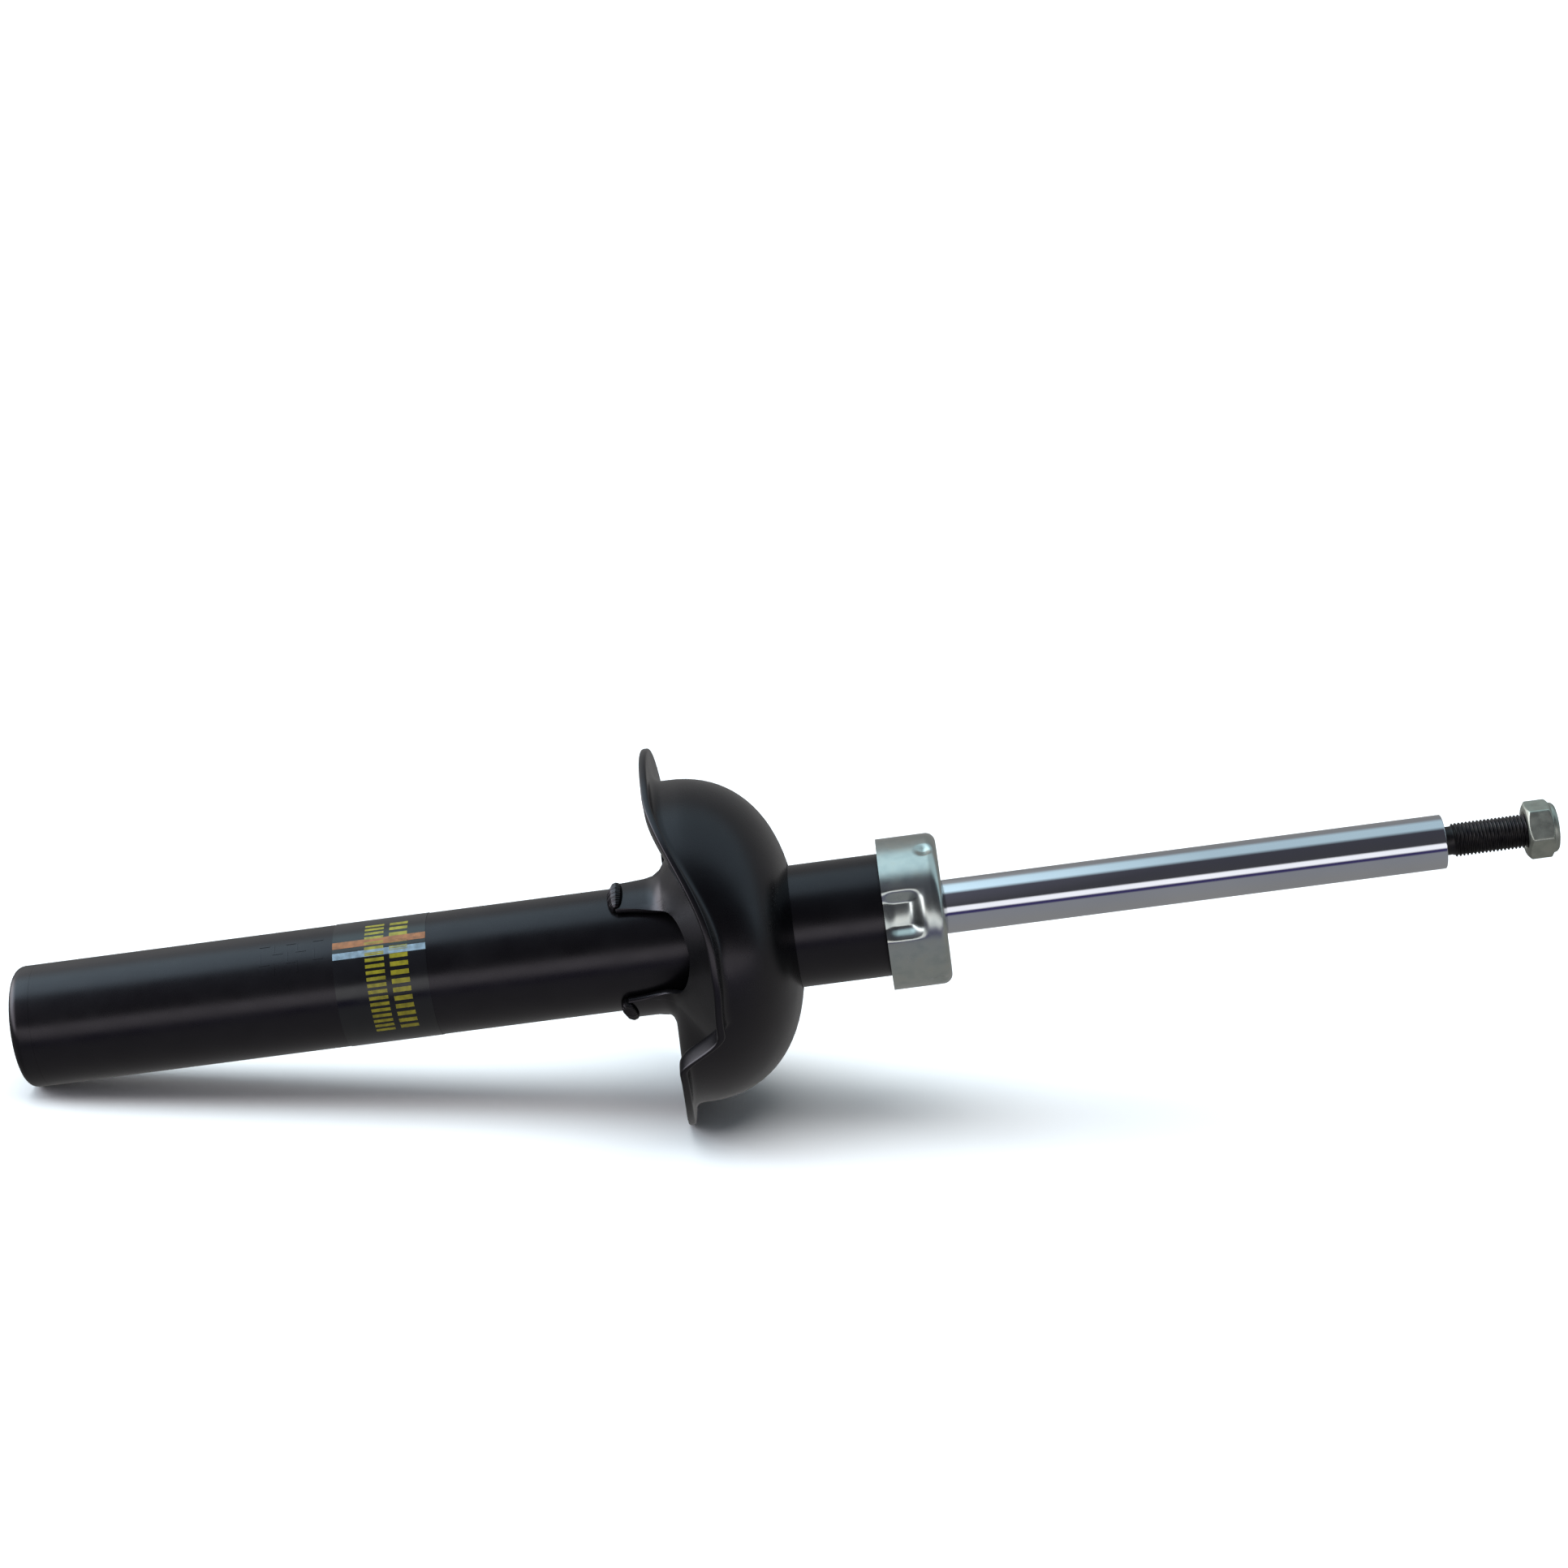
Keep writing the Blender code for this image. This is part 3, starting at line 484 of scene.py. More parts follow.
def dark_thread():
    """Oiled, blackened steel of the stud."""
    finish = Finish("dark_thread", (0.03, 0.03, 0.032), 0.42, 0.85)
    finish.colours(3.0, [(0.3, (0.022, 0.021, 0.024)), (0.7, (0.050, 0.046, 0.044))])
    finish.roughness(1.5, 0.34, 0.52)
    finish.bump(0.5, 0.006)
    return finish.material


def label_film():
    finish = Finish("label_film", (0.005, 0.005, 0.007), 0.25)
    finish.colours(12.0, [(0.3, (0.004, 0.004, 0.005)), (0.7, (0.007, 0.007, 0.009))])
    finish.roughness(10.0, 0.19, 0.27)
    finish.bump(7.0, 0.012)
    return finish.material


def print_and_reflection_finish(name, colour):
    """Ink on the label, slightly uneven; the same finish also colours the two stripes of painted reflection.
    """
    thin = tuple(0.6 * channel for channel in colour)
    finish = Finish(name, colour, 0.3)
    finish.colours(2.5, [(0.35, thin), (0.65, colour)])
    finish.roughness(4.0, 0.25, 0.4)
    return finish.material


def machined_steel():
    finish = Finish("machined_steel", (0.42, 0.42, 0.43), 0.32, 1.0)
    finish.colours(4.0, [(0.3, (0.36, 0.36, 0.37)), (0.7, (0.46, 0.46, 0.465))])
    finish.roughness(1.5, 0.26, 0.42)
    finish.bump(0.8, 0.004)
    return finish.material


def sintered_iron():
    finish = Finish("sintered_iron", (0.25, 0.24, 0.23), 0.6, 0.9)
    finish.colours(0.8, [(0.35, (0.17, 0.165, 0.16)), (0.65, (0.30, 0.29, 0.275))])
    finish.roughness(0.8, 0.5, 0.7)
    finish.bump(0.5, 0.03)
    return finish.material


def bush_bronze():
    finish = Finish("bush_bronze", (0.45, 0.32, 0.18), 0.42, 1.0)
    finish.colours(1.5, [(0.35, (0.36, 0.25, 0.13)), (0.65, (0.50, 0.36, 0.20))])
    finish.roughness(1.0, 0.36, 0.5)
    finish.bump(0.6, 0.01)
    return finish.material


def band_plastic():
    finish = Finish("band_plastic", (0.10, 0.075, 0.05), 0.45)
    finish.colours(0.9, [(0.35, (0.08, 0.06, 0.04)), (0.65, (0.15, 0.11, 0.07))])
    finish.roughness(2.0, 0.4, 0.52)
    finish.bump(0.7, 0.006)
    return finish.material


def rubber():
    finish = Finish("rubber", (0.02, 0.02, 0.02), 0.7)
    finish.colours(3.0, [(0.35, (0.015, 0.015, 0.015)), (0.7, (0.03, 0.03, 0.031))])
    finish.roughness(2.0, 0.62, 0.78)
    finish.bump(0.4, 0.01)
    return finish.material


def nylon():
    finish = Finish("nylon", (0.75, 0.75, 0.70), 0.45)
    finish.colours(3.0, [(0.35, (0.68, 0.68, 0.62)), (0.65, (0.78, 0.78, 0.73))])
    finish.roughness(2.0, 0.4, 0.52)
    finish.bump(0.7, 0.006)
    return finish.material


PAINT = black_paint()
ZINC = zinc_plate()
CHROME = chrome_rod()
THREAD = dark_thread()
NYLON = nylon()


def dress_cad_nodes():
    """The inner pieces stay as the CAD model has them, each with its finish."""
    steel = machined_steel()
    sintered = sintered_iron()
    soft = rubber()
    finishes = {
        "inner_cylinder": steel,
        "rod_guide": sintered,
        "guide_bush": bush_bronze(),
        "guide_o_ring": soft,
        "rod_seal": soft,
        "seal_washer": steel,
        "base_valve_body": sintered,
        "base_discs": steel,
        "base_check_plate": steel,
        "base_check_spring": steel,
        "base_valve_bolt": steel,
        "base_valve_nut": steel,
        "rebound_stop": steel,
        "rebound_buffer": soft,
        "piston": sintered,
        "piston_band": band_plastic(),
        "piston_check_plate": steel,
        "piston_check_spring": steel,
        "rebound_discs": steel,
        "rebound_washer": steel,
        "piston_nut": steel,
    }
    for name, material in finishes.items():
        node = frame["nodes"][name]
        node.data.materials.clear()
        node.data.materials.append(material)


# ---- damper tube -------------------------------------------------------------------------------------------


def make_tube():
    outline = [
        (TUBE_R, BASE_SPLIT),
        (TUBE_R, TUBE_TOP, TUBE_ROLL),
        (LIP_R, TUBE_TOP, 0.8),
        (LIP_R, TUBE_TOP - TUBE_WALL),
        (TUBE_R - TUBE_WALL, TUBE_TOP - TUBE_WALL, 0.6),
        (TUBE_R - TUBE_WALL, BASE_SPLIT),
    ]
    add_piece("damper_tube", lathe_mesh(outline), PAINT, "barrel", ["outer_tube"])


def make_base():
    fit_r = TUBE_R - TUBE_WALL - GAP
    floor = BASE_CORNER + BASE_FLOOR
    outline = [
        (0.0, SKIN),
        (TUBE_R, SKIN, BASE_CORNER),
        (TUBE_R, BASE_SPLIT - BASE_SEAM),
        (fit_r, BASE_SPLIT - BASE_SEAM),
        (fit_r, BASE_SPIGOT_TOP),
        (fit_r - BASE_WALL, BASE_SPIGOT_TOP),
        (fit_r - BASE_WALL, floor),
        (0.0, floor),
    ]
    add_piece("tube_end_cap", lathe_mesh(outline), PAINT, "barrel", ["base_cap"])


# ---- spring seat -------------------------------------------------------------------------------------------


def brim_height(angle):
    """Height of the brim over its low plane: a slow rise, a fast one, a droop, a step down and a low tail."""
    turn = angle % 360.0
    up = rise(turn, *SLOW_RISE) + rise(turn, *FAST_RISE) - rise(turn, *DROOP)
    step = (1.0 - TAIL) * smooth((turn - STEP_START) / STEP_LENGTH)
    return up * (1.0 - step - TAIL * smooth((turn - TAIL_START) / TAIL_LENGTH))


def brim_radius(angle):
    """Outline of the brim: nearly a circle, with one flat edge on the side that faces down."""
    circle = BRIM_R + BRIM_OFFSET * math.cos(math.radians(angle - WIDE_SIDE)) - SKIN
    down = math.cos(math.radians(angle))
    if down <= 0.0:
        return circle
    power = CHORD_SHARPNESS
    return (circle**-power + (down / (CHORD - SKIN)) ** power) ** (-1.0 / power)


def dome_radius(station):
    share = min(max((station - DOME_START) / DOME_HEIGHT, 0.0), 1.0)
    return DOME_R * (1.0 - share**DOME_P) ** (1.0 / DOME_Q)


def offset_sheet(points, thickness):
    """The other side of a sheet, given one side of its profile from the outside in."""
    other = []
    for point, along in zip(points, profile_directions(points)):
        other.append(point + Vector((along.y, -along.x)) * -thickness)
    return other


def profile_directions(points):
    ends = len(points) - 1
    return [(points[min(i + 1, ends)] - points[max(i - 1, 0)]).normalized() for i in range(ends + 1)]


def seat_outer(angle):
    """Upper side of the seat at one angle, from the brim's edge to the hub."""
    top = LOW_PLANE + SHEET + brim_height(angle)
    foot = dome_radius(top)
    edge = brim_radius(angle)
    start = min(foot + BRIM_FILLET, edge - RIM_ROUND - RIM_FLAT)
    outer = [Vector((edge - RIM_ROUND, top)), Vector((start, top))]
    corner = Vector((foot, top))
    landing = Vector((dome_radius(top + BRIM_FILLET), top + BRIM_FILLET))
    for share in between(0.125, 1.0, 8):
        first = outer[1].lerp(corner, share)
        outer.append(first.lerp(corner.lerp(landing, share), share))
    low_turn = math.asin(max((landing.y - DOME_START) / DOME_HEIGHT, 0.0) ** (DOME_P / 2.0))
    high_turn = math.acos((HUB_R / DOME_R) ** (DOME_Q / 2.0))
    for turn in between(low_turn, high_turn, DOME_STEPS + 1)[1:]:
        station = DOME_START + DOME_HEIGHT * math.sin(turn) ** (2.0 / DOME_P)
        outer.append(Vector((DOME_R * math.cos(turn) ** (2.0 / DOME_Q), station)))
    return outer


def rounded_rim(edge, top):
    """The brim's edge from its underside to its upper side."""
    points = []
    for side, first, last in ((-1.0, -90.0, 0.0), (1.0, 0.0, 90.0)):
        middle = top - SHEET / 2.0 + side * (SHEET / 2.0 - RIM_ROUND)
        centre = Vector((edge - RIM_ROUND, middle))
        for turn in between(first, last, 5):
            lean = math.radians(turn)
            points.append(centre + RIM_ROUND * Vector((math.cos(lean), math.sin(lean))))
    return points


def seat_section(angle):
    outer = seat_outer(angle)
    top = outer[0].y
    inner = offset_sheet(outer, SHEET)
    inner[0] = Vector((outer[0].x, top - SHEET))
    sheet = rounded_rim(brim_radius(angle), top)[:-1] + outer + inner[:0:-1]
    return [polar(max(point.x, TUBE_R + GAP), angle, point.y) for point in sheet]


def make_seat():
    angles = between(STEP_START, STEP_START + STEP_LENGTH, STEP_COLUMNS)
    rest = SEAT_COLUMNS - STEP_COLUMNS
    angles += between(STEP_START + STEP_LENGTH, STEP_START + 360.0, rest + 2)[1:-1]
    bm = loft_mesh([seat_section(angle) for angle in angles])
    add_piece("spring_dish", bm, PAINT, "barrel", ["spring_seat"])


# ---- bracket under the seat --------------------------------------------------------------------------------


def bracket_height(angle):
    """The bracket rises inside the dome before the brim does, and comes down over a longer stretch."""
    turn = angle % 360.0
    return rise(turn, *BRACKET_RISE) * (1.0 - smooth((turn - BRACKET_STEP_START) / BRACKET_STEP_LENGTH))


def bracket_profile(angle):
    """Outer side of the bracket at one angle: leg, fillet, then a flare out to its rim inside the dome."""
    neck = TUBE_R + GAP + SHEET
    corner = Vector((neck, LOW_PLANE))
    station = LOW_PLANE + bracket_height(angle)
    rim = Vector((dome_radius(station + SHEET) - RIM_INSET, station))
    flare = (rim - corner).normalized()
    before = corner - Vector((0.0, NECK_FILLET))
    after = corner + flare * NECK_FILLET
    leg_end = Vector((neck, LEG_END))
    points = [leg_end.lerp(before, share) for share in between(0.0, 1.0, 5)[:-1]]
    for share in between(0.0, 1.0, 10):
        points.append(before.lerp(corner, share).lerp(corner.lerp(after, share), share))
    points += [after.lerp(rim, share) for share in between(0.0, 1.0, BRACKET_FLARE_STEPS + 1)[1:]]
    return points


def cut_start(points, share):
    """Drops the first part of a profile, keeping its number of points."""
    lengths = [0.0]
    for first, second in zip(points, points[1:]):
        lengths.append(lengths[-1] + (second - first).length)
    start = share * lengths[-1]
    result = []
    for length in lengths:
        wanted = start + (lengths[-1] - start) * length / lengths[-1]
        k = max(j for j in range(len(points) - 1) if lengths[j] <= wanted + 1e-9)
        part = (wanted - lengths[k]) / (lengths[k + 1] - lengths[k])
        result.append(points[k].lerp(points[k + 1], min(part, 1.0)))
    return result


def bracket_section(angle, share, side=0.0):
    """side is how far the notch's edge turns towards its middle, from -1 to 1 at the notch's sides."""
    outer = cut_start(bracket_profile(angle), share)
    inner = offset_sheet(outer, SHEET)
    section = [polar(max(p.x, TUBE_R + GAP), angle, p.y) for p in outer + inner[::-1]]
    along = (outer[1] - outer[0]).normalized()
    for across in EDGE_SHARES:
        swell = EDGE_SWELL * (1.0 - abs(2.0 * across - 1.0) ** 3)
        point = inner[0].lerp(outer[0], 1.0 - across) - along * swell * (1.0 - abs(side))
        turn = angle - math.degrees(side * swell / point.x)
        section.append(polar(max(point.x, TUBE_R + GAP), turn, point.y))
    return section


def make_bracket():
    """The notches between the legs are round-ended slots, open towards the lower end of the tube."""
    sections = []
    for centre in NOTCH_CENTRES:
        for step in range(NOTCH_COLUMNS + 1):
            across = math.sin(math.pi * (step / NOTCH_COLUMNS - 0.5))
            depth = max(1.0 - abs(across) ** NOTCH_POWERS[0], 0.0) ** NOTCH_POWERS[1]
            side = math.copysign(abs(across) ** EDGE_SIDE_POWER, across)
            sections.append(bracket_section(centre + NOTCH_HALF * across, NOTCH_DEPTH * depth, side))
        leg_width = 120.0 - 2.0 * NOTCH_HALF
        for share in between(0.0, 1.0, LEG_COLUMNS + 2)[1:-1]:
            sections.append(bracket_section(centre + NOTCH_HALF + leg_width * share, 0.0))
    add_piece("dish_bracket", loft_mesh(sections), PAINT, "barrel", ["seat_bracket"])


def bead_section(outline, neck, end, middle, across):
    """One slice across a weld bead, with the ripples that the torch leaves."""
    swell = BEAD_END_SWELL + (1.0 - BEAD_END_SWELL) * math.sqrt(max(1.0 - across * across, 0.0))
    ripple = 1.0 + BEAD_RIPPLE * math.cos(across * BEAD_COLUMNS * RIPPLE_RATE)
    section = []
    for radius, station in outline:
        out = max(radius - neck, 0.0) * swell * ripple + min(radius, neck)
        along = min(station - end, 0.0) * swell * ripple + max(station - end, 0.0) * swell
        section.append(polar(out, middle + BEAD_HALF * across, end + along))
    return section


def make_weld_beads():
    """A lump of weld at the end of each leg, lapping over its edge."""
    neck = TUBE_R + 2.0 * GAP + SHEET
    foot = TUBE_R + GAP
    end = LEG_END - GAP
    outline = round_corners(
        [
            (foot, end - 3.3),
            (foot + 1.8, end - 3.1, 0.8),
            (neck + 0.7, end - 1.5, 0.8),
            (neck + 1.5, end + 0.6, 0.7),
            (neck + 0.9, end + 2.7, 0.7),
            (neck, end + 3.2),
            (neck, end),
            (foot, end),
        ],
        3,
    )
    for number, centre in enumerate(NOTCH_CENTRES, start=1):
        middle = centre - 60.0 + BEAD_OFFSET
        slices = between(-1.0, 1.0, BEAD_COLUMNS)
        bm = loft_mesh([bead_section(outline, neck, end, middle, across) for across in slices], closed=False)
        add_piece(f"bracket_weld_{number}", bm, PAINT, "barrel", [f"seat_weld_{number}"])


# ---- bump cap ----------------------------------------------------------------------------------------------


def dent_depth(angle, station):
    """How far the cap's wall is pressed in towards the tube."""
    away = turn_apart(angle, DENT_CENTRES)
    across = 1.0 - smooth((away - DENT_FLAT) / (DENT_HALF - DENT_FLAT))
    up = station - CAP_LOW
    opening = DENT_MOUTH + (1.0 - DENT_MOUTH) * smooth(up / DENT_FULL)
    closing = 1.0 - smooth((up - DENT_SLOPE) / (DENT_END - DENT_SLOPE))
    return (CAP_R - CAP_SHEET - TUBE_R - GAP) * across * opening * closing


def dimple_depth(angle, radius, station):
    """Small round dimples pressed into the wall just below the cap's shoulder."""
    middle = Vector((CAP_R, CAP_TOP - DIMPLE_DROP))
    around = math.radians(turn_apart(angle, DIMPLE_CENTRES)) * CAP_R
    away = math.hypot(around, (Vector((radius, station)) - middle).length)
    return DIMPLE_DEPTH * (1.0 - smooth(away / DIMPLE_R))


def cap_wall(radius, top, corner):
    """One side of the cap's sheet, from the edge of its hole to its open end."""
    shoulder = round_corners([(CAP_HOLE_R, top), (radius, top, corner), (radius, CAP_LOW)], 10)
    face = [Vector((r, top)) for r in between(CAP_HOLE_R, radius - corner, 8)[:-1]]
    wall = [Vector((radius, station)) for station in between(top - corner, CAP_LOW, CAP_ROWS)[1:]]
    return face + shoulder[1:-1] + wall


def cap_section(angle):
    outer = cap_wall(CAP_R - SKIN, CAP_TOP, CAP_CORNER)
    inner = cap_wall(CAP_R - CAP_SHEET, CAP_TOP - CAP_SHEET, CAP_CORNER - CAP_SHEET)
    section = []
    for point in outer + inner[::-1]:
        pressed = dent_depth(angle, point.y) if point.x > TUBE_R + 2.0 else 0.0
        dimple = dimple_depth(angle, point.x, point.y)
        section.append(polar(point.x - pressed - dimple, angle, point.y))
    return section


def make_bump_cap():
    sections = [cap_section(360.0 * i / CAP_COLUMNS) for i in range(CAP_COLUMNS)]
    add_piece("bump_stop_cap", loft_mesh(sections), ZINC, "barrel", ["bump_cap"])


# ---- rod, stud and nut -------------------------------------------------------------------------------------


def make_rod():
    """The chromed shaft with its tenon. The threaded stud is a piece of its own on the same body."""
    outline = [
        (0.0, TENON_LOW),
        (TENON_R, TENON_LOW, 0.6),
        (TENON_R, ROD_LOW),
        (ROD_R, ROD_LOW, ROD_EDGE),
        (ROD_R, SHOULDER, ROD_EDGE),
        (UNDERCUT_R - SOCKET_INSET, SHOULDER),
        (UNDERCUT_R - SOCKET_INSET, SHOULDER - STUD_SOCKET),
        (0.0, SHOULDER - STUD_SOCKET),
    ]
    add_piece("rod_shaft", lathe_mesh(outline), CHROME, "rod", ["piston_rod"])


def thread_radius(angle, station):
    """A helical thread with rounded crests, fading out at the undercut and at the stud's end."""
    turns = station / THREAD_PITCH - angle / 360.0
    peak = abs((turns % 1.0) - 0.5) * 2.0
    depth = THREAD_DEPTH * smooth((1.0 - peak) / THREAD_FLANK)
    run_in = smooth((station - SHOULDER - THREAD_START) / THREAD_RUN_IN)
    lead = max(station - STUD_END + STUD_POINT, 0.0)
    root = STUD_R - depth
    body = UNDERCUT_R + (root - UNDERCUT_R) * run_in
    return min(body, STUD_R - lead)


def make_stud():
    low = SHOULDER - STUD_START
    turns = (STUD_END - low) / THREAD_PITCH
    stations = between(low, STUD_END, int(turns * THREAD_ROWS_A_TURN))
    angles = [360.0 * i / THREAD_COLUMNS for i in range(THREAD_COLUMNS)]
    sections = []
    for station in stations:
        hidden = station < SHOULDER
        radii = [UNDERCUT_R - STUD_FIT if hidden else thread_radius(angle, station) for angle in angles]
        sections.append([polar(radius, angle, station) for radius, angle in zip(radii, angles)])
    bm = loft_mesh(sections, closed=False)
    add_piece("rod_stud", bm, THREAD, "rod", sharp=50.0)


def hexagon_radius(angle, across):
    """A hexagon with slightly rounded corners."""
    total = 0.0
    for side in range(6):
        toward = math.cos(math.radians(angle - 60.0 * side))
        if toward > 0.0:
            total += (toward / across) ** NUT_ROUNDNESS
    return total ** (-1.0 / NUT_ROUNDNESS)


def nut_radius(angle, station):
    """Hexagon cut by the cones of both chamfers and by the collar over the nylon ring."""
    across = NUT_FLATS / 2.0
    collar = NUT_TOP - NUT_CROWN
    slope = 1.0 / math.tan(math.radians(CHAMFER_ANGLE))
    hexagon = hexagon_radius(angle - NUT_TURN, across)
    low_cone = across - NUT_CHAMFER + (station - NUT_LOW) * slope
    high_cone = across - NUT_CHAMFER + (collar - station) * slope
    share = min(max((station - collar) / NUT_CROWN, 0.0), 1.0)
    crown = across - CROWN_INSET - CROWN_ROUND * (1.0 - math.sqrt(max(1.0 - share**2, 0.0)))
    if station >= collar:
        return crown
    power = CHAMFER_SHARPNESS
    return (hexagon**-power + low_cone**-power + max(high_cone, crown) ** -power) ** (-1.0 / power)


def make_nut():
    bore = STUD_R + GAP
    collar = NUT_TOP - NUT_CROWN
    low = NUT_LOW + CHAMFER_LENGTH
    high = collar - CHAMFER_LENGTH
    stations = between(NUT_LOW, low, 8) + between(low, high, 5)[1:]
    stations += between(high, collar, 8)[1:] + between(collar, NUT_TOP, 10)[1:]
    sections = []
    for angle in between(0.0, 360.0, ROUND_SEGMENTS * 2 + 1)[:-1]:
        section = [polar(bore, angle, NUT_LOW + BORE_CHAMFER), polar(bore + BORE_CHAMFER, angle, NUT_LOW)]
        section += [polar(nut_radius(angle, station), angle, station) for station in stations]
        section += [
            polar(bore + GAP, angle, NUT_TOP),
            polar(bore + GAP, angle, NUT_TOP - NUT_FOLD),
            polar(RING_POCKET_R, angle, NUT_TOP - NUT_FOLD),
            polar(RING_POCKET_R, angle, NUT_TOP - RING_POCKET),
            polar(bore, angle, NUT_TOP - RING_POCKET),
        ]
        sections.append(section)
    add_piece("lock_nut", loft_mesh(sections), dull_zinc(), "nut", ["top_nut"], sharp=38.0)
    ring_low = NUT_TOP - RING_POCKET + GAP
    ring_top = NUT_TOP - NUT_FOLD - GAP
    ring_r = RING_POCKET_R - GAP
    ring = [(bore, ring_low, 0.2), (ring_r, ring_low, 0.2), (ring_r, ring_top, 0.2), (bore, ring_top, 0.4)]
    add_piece("nut_insert", lathe_mesh(ring, 96), NYLON, "ring", ["nut_ring"])


# ---- label -------------------------------------------------------------------------------------------------


def patch(low, high, first, last, inner, outer):
    """Sections of a thin curved plate on the tube."""
    corners = ((inner, low), (outer, low), (outer, high), (inner, high))
    columns = max(int(abs(last - first) / PLATE_STEP), 1) + 1
    angles = between(first, last, columns + 1)
    return [[polar(radius, angle, station) for radius, station in corners] for angle in angles]


def make_label():
    inner = TUBE_R + LABEL_SEAT
    outer = inner + LABEL_FILM
    ends = (LABEL_MIDDLE - LABEL_HALF, LABEL_MIDDLE + LABEL_HALF)
    sections = patch(LABEL_LOW, LABEL_HIGH, *ends, inner, outer)
    bm = loft_mesh(sections, closed=False)
    add_piece("tube_label", bm, label_film(), "barrel", ["label_film"])


def curved_plates(name, plates, inner, outer, material):
    """Thin plates round the tube: each has its low and high station and its first and last angle."""
    joined = bmesh.new()
    for plate in plates:
        part = loft_mesh(patch(*plate, inner, outer), closed=False)
        mesh = bpy.data.meshes.new("mark")
        part.to_mesh(mesh)
        part.free()
        joined.from_mesh(mesh)
        bpy.data.meshes.remove(mesh)
    add_piece(name, joined, material, "barrel")


def make_ticks():
    """The burrs of short plain ticks punched into the tube, some along it and some round it."""
    plates = []
    for row, angle in enumerate(TICK_ANGLES):
        for column, station in enumerate(TICK_STATIONS):
            if (row + column) % 2:
                turn = math.degrees(TICK_LENGTH / TUBE_R)
                plates.append((station, station + TICK_WIDTH, angle, angle + turn))
            else:
                turn = math.degrees(TICK_WIDTH / TUBE_R)
                plates.append((station, station + 0.8 * TICK_LENGTH, angle, angle + turn))
    inner = TUBE_R - TICK_HEIGHT
    curved_plates("tube_ticks", plates, inner, TUBE_R + TICK_HEIGHT, PAINT)


# Plates on the label's film: the printed bars, and also the stripes of painted reflection.
def print_and_reflection_plates(name, plates, material):
    inner = TUBE_R + LABEL_SEAT + LABEL_FILM
    curved_plates(name, plates, inner, inner + PRINT_AND_REFLECTION_HEIGHT, material)


def make_label_marks():
    """Plain bars of even pitch in two rows round the tube, and two thin stripes along it that are a painted
    reflection of the window on the glossy film, one warm and one cool.
    """
    bars = []
    for low, high, pitch in MARK_ROWS:
        for number in range(int((MARK_LAST - MARK_FIRST) / pitch)):
            first = MARK_FIRST + number * pitch
            bars.append((low, high, first, first + MARK_SHARE * pitch))
    print_and_reflection_plates("label_marks", bars, print_and_reflection_finish("label_yellow", (0.42, 0.37, 0.02)))
    # The two stripes are a painted reflection of the window on the glossy film, not print.
    warm = print_and_reflection_finish("painted_reflection_warm", (0.46, 0.17, 0.05))
    cool = print_and_reflection_finish("painted_reflection_cool", (0.36, 0.50, 0.60))
    print_and_reflection_plates("painted_reflection_stripe_1", [(LABEL_LOW, LABEL_HIGH, *WARM_REFLECTION_STRIPE)], warm)
    print_and_reflection_plates("painted_reflection_stripe_2", [(LABEL_LOW, LABEL_HIGH, *COOL_REFLECTION_STRIPE)], cool)


# ---- stage -------------------------------------------------------------------------------------------------


def make_floor():
    bm = bmesh.new()
    bmesh.ops.create_grid(bm, x_segments=1, y_segments=1, size=FLOOR_HALF)
    mesh = bpy.data.meshes.new("studio_floor")
    bm.to_mesh(mesh)
    bm.free()
    finish = Finish("studio_floor", (0.86, 0.86, 0.86), 0.9)
    finish.set("Specular IOR Level", 0.1)
    mesh.materials.append(finish.material)
    floor = bpy.data.objects.new("studio_floor", mesh)
    bpy.context.scene.collection.objects.link(floor)
    floor.visible_glossy = False
    floor.visible_diffuse = False
    return floor


def math_node(tree, operation, *values):
    """The result of a Math node whose inputs are sockets or numbers."""
    node = tree.nodes.new("ShaderNodeMath")
    node.operation = operation
    for socket, value in zip(node.inputs, values):
        if isinstance(value, (int, float)):
            socket.default_value = value
        else:
            tree.links.new(value, socket)
    return node.outputs["Value"]


def map_range(tree, value, low, high):
    """A Map Range node between two ends, each a pair of the value read and the value given."""
    node = tree.nodes.new("ShaderNodeMapRange")
    node.inputs["From Min"].default_value = low[0]
    node.inputs["From Max"].default_value = high[0]
    node.inputs["To Min"].default_value = low[1]
    node.inputs["To Max"].default_value = high[1]
    tree.links.new(value, node.inputs["Value"])
    return node


def dome_colour(tree, split):
    """The bands of the dome, from below the front's horizon over the top to the back."""
    front = math_node(tree, "MULTIPLY", split.outputs["Y"], -1.0)
    height = math_node(tree, "ARCTAN2", split.outputs["Z"], front)
    share = math_node(tree, "MULTIPLY_ADD", height, 0.5 / math.pi, 0.5)
    ramp = tree.nodes.new("ShaderNodeValToRGB")
    elements = ramp.color_ramp.elements
    while len(elements) < len(DOME_BANDS):
        elements.new(0.5)
    for element, (turn, colour) in zip(elements, DOME_BANDS):
        element.position = turn / 360.0 + 0.5
        element.color = (*[channel / DOME_STRENGTH for channel in colour], 1.0)
    tree.links.new(share, ramp.inputs["Fac"])
    return ramp.outputs["Color"]


def dome_strength(tree, split):
    """The left side is brighter high up and dimmer low down."""
    low = (0.0, DOME_STRENGTH * LEFT_LOW)
    high = (LEFT_TOP, DOME_STRENGTH * LEFT_HIGH)
    above = map_range(tree, split.outputs["Z"], low, high)
    left = map_range(tree, split.outputs["X"], (LEFT_START, DOME_STRENGTH), (LEFT_FULL, DOME_STRENGTH))
    tree.links.new(above.outputs["Result"], left.inputs["To Max"])
    return left.outputs["Result"]


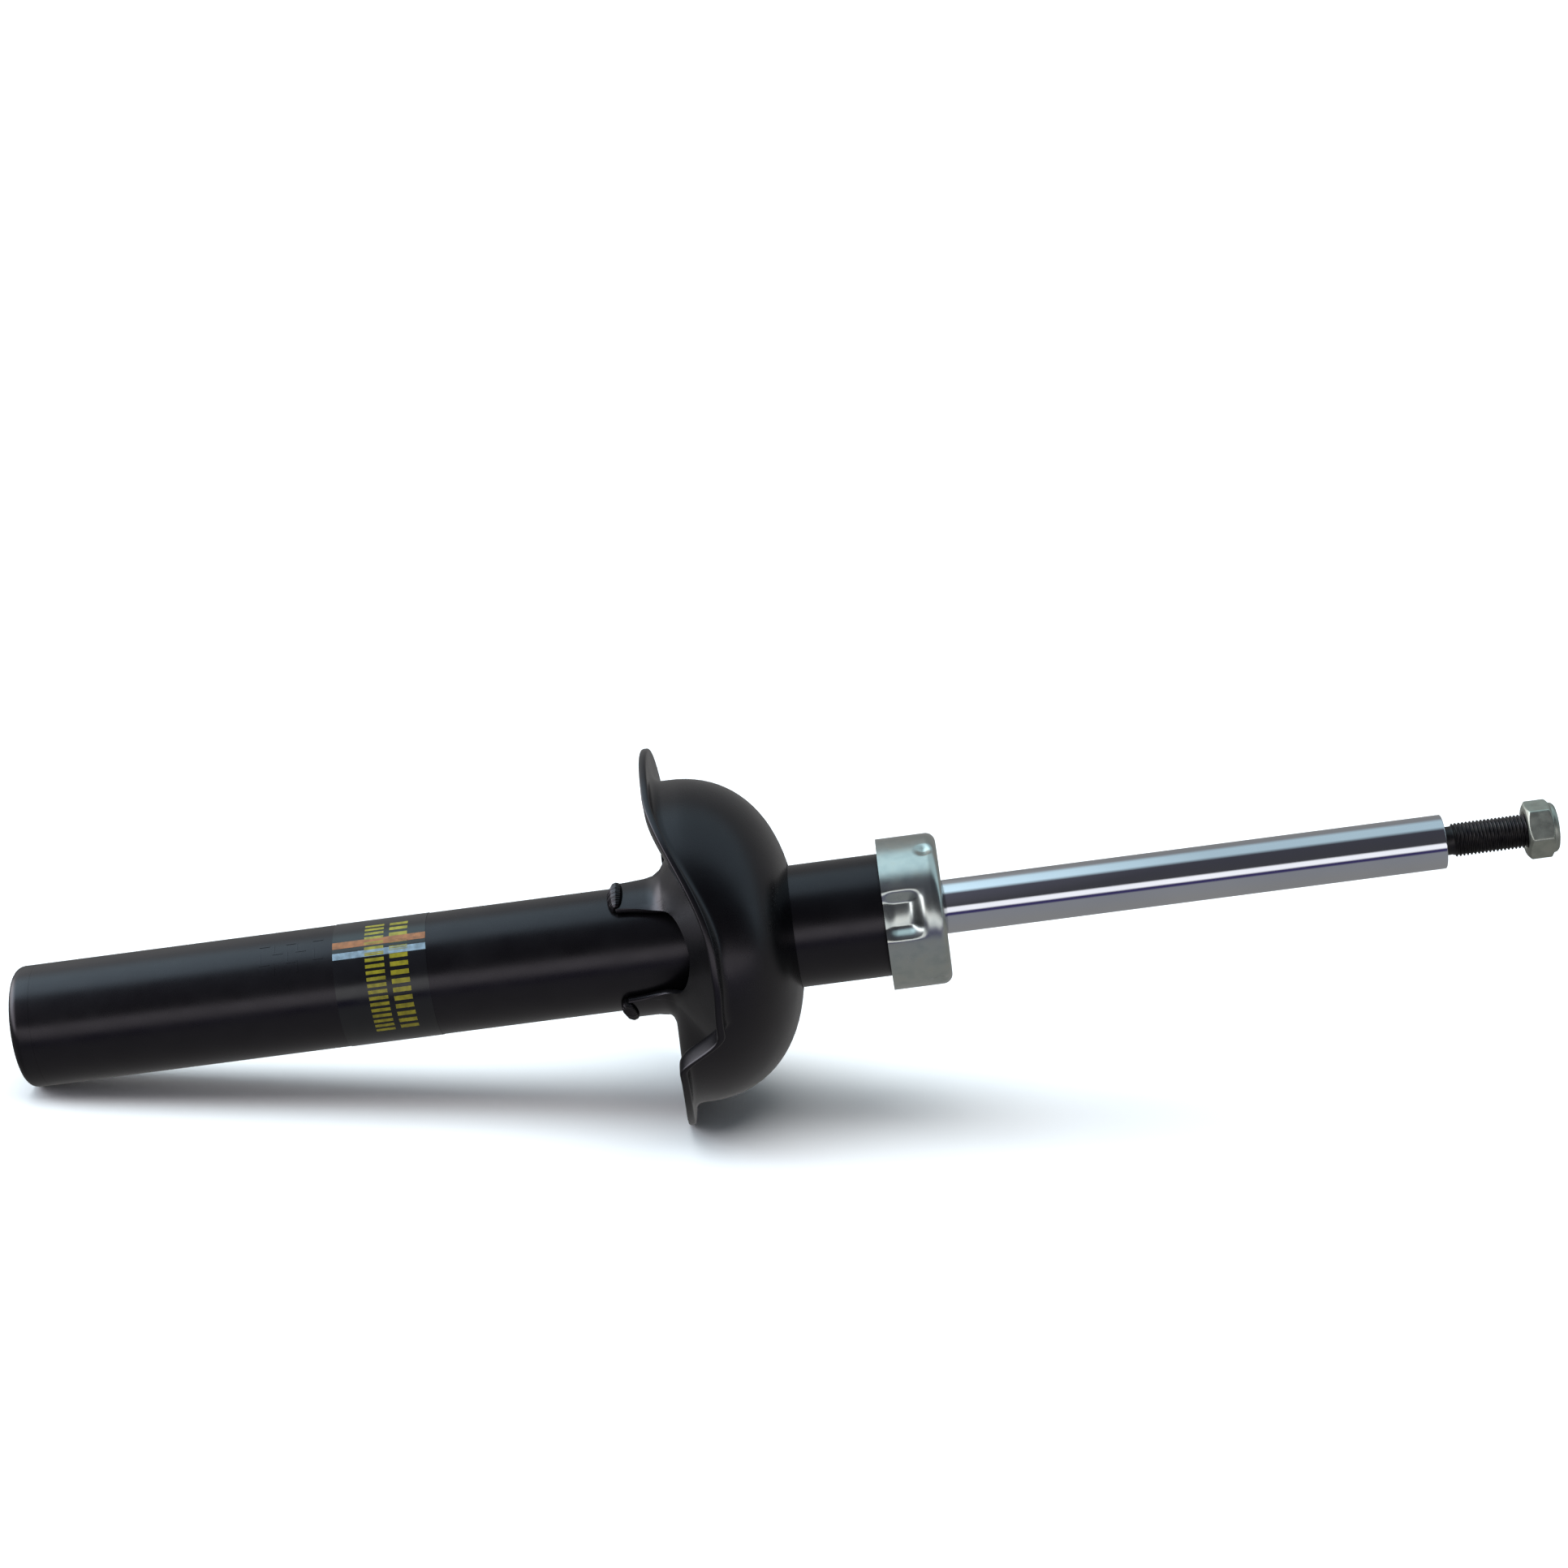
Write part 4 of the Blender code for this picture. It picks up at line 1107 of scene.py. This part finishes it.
def window_strength(tree, split):
    """A bright window on the far left, from the horizon up."""
    side = map_range(tree, split.outputs["X"], (WINDOW_SIDE[0], 0.0), (WINDOW_SIDE[1], 1.0))
    foot = map_range(tree, split.outputs["Z"], (WINDOW_FOOT[0], 0.0), (WINDOW_FOOT[1], 1.0))
    inside = math_node(tree, "MULTIPLY", side.outputs["Result"], foot.outputs["Result"])
    return math_node(tree, "MULTIPLY", inside, WINDOW_STRENGTH)


def make_world():
    """A studio dome with a bright strip along the front's horizon, a cool panel overhead and a window."""
    world = bpy.data.worlds.new("studio")
    world.use_nodes = True
    tree = world.node_tree
    split = tree.nodes.new("ShaderNodeSeparateXYZ")
    tree.links.new(tree.nodes.new("ShaderNodeTexCoord").outputs["Generated"], split.inputs["Vector"])
    dome = tree.nodes["Background"]
    tree.links.new(dome_colour(tree, split), dome.inputs["Color"])
    tree.links.new(dome_strength(tree, split), dome.inputs["Strength"])
    window = tree.nodes.new("ShaderNodeBackground")
    window.inputs["Color"].default_value = WINDOW_COLOUR
    tree.links.new(window_strength(tree, split), window.inputs["Strength"])
    both = tree.nodes.new("ShaderNodeAddShader")
    tree.links.new(dome.outputs["Background"], both.inputs[0])
    tree.links.new(window.outputs["Background"], both.inputs[1])
    tree.links.new(both.outputs["Shader"], tree.nodes["World Output"].inputs["Surface"])
    bpy.context.scene.world = world


def light_floor(floor):
    """A soft wash that only the floor receives, so that it stays pale and even."""
    data = bpy.data.lights.new("floor_wash", "SUN")
    data.energy = FLOOR_SUN
    data.angle = math.radians(60.0)
    light = bpy.data.objects.new("floor_wash", data)
    bpy.context.scene.collection.objects.link(light)
    receivers = bpy.data.collections.new("floor_only")
    receivers.objects.link(floor)
    light.light_linking.receiver_collection = receivers


def make_camera():
    data = bpy.data.cameras.new("camera")
    data.sensor_width = SENSOR
    data.lens = CAMERA_LENS
    data.clip_start = 0.05
    data.clip_end = 60.0
    yaw = math.radians(CAMERA_YAW)
    pitch = math.radians(CAMERA_PITCH)
    roll = math.radians(CAMERA_ROLL)
    forward = Vector((math.sin(yaw) * math.cos(pitch), math.cos(yaw) * math.cos(pitch), -math.sin(pitch)))
    level = Vector((math.cos(yaw), -math.sin(yaw), 0.0))
    upright = level.cross(forward)
    right = level * math.cos(roll) + upright * math.sin(roll)
    up = upright * math.cos(roll) - level * math.sin(roll)
    turn = Matrix((right, up, -forward)).transposed().to_4x4()
    camera = bpy.data.objects.new("camera", data)
    bpy.context.scene.collection.objects.link(camera)
    camera.matrix_world = Matrix.Translation(Vector(CAMERA_PLACE)) @ turn
    bpy.context.scene.camera = camera


def main():
    make_camera()
    make_world()
    light_floor(make_floor())
    bpy.context.scene.view_settings.view_transform = "Standard"
    dress_cad_nodes()
    make_tube()
    make_base()
    make_seat()
    make_bracket()
    make_weld_beads()
    make_bump_cap()
    make_rod()
    make_stud()
    make_nut()
    make_ticks()
    make_label()
    make_label_marks()


main()
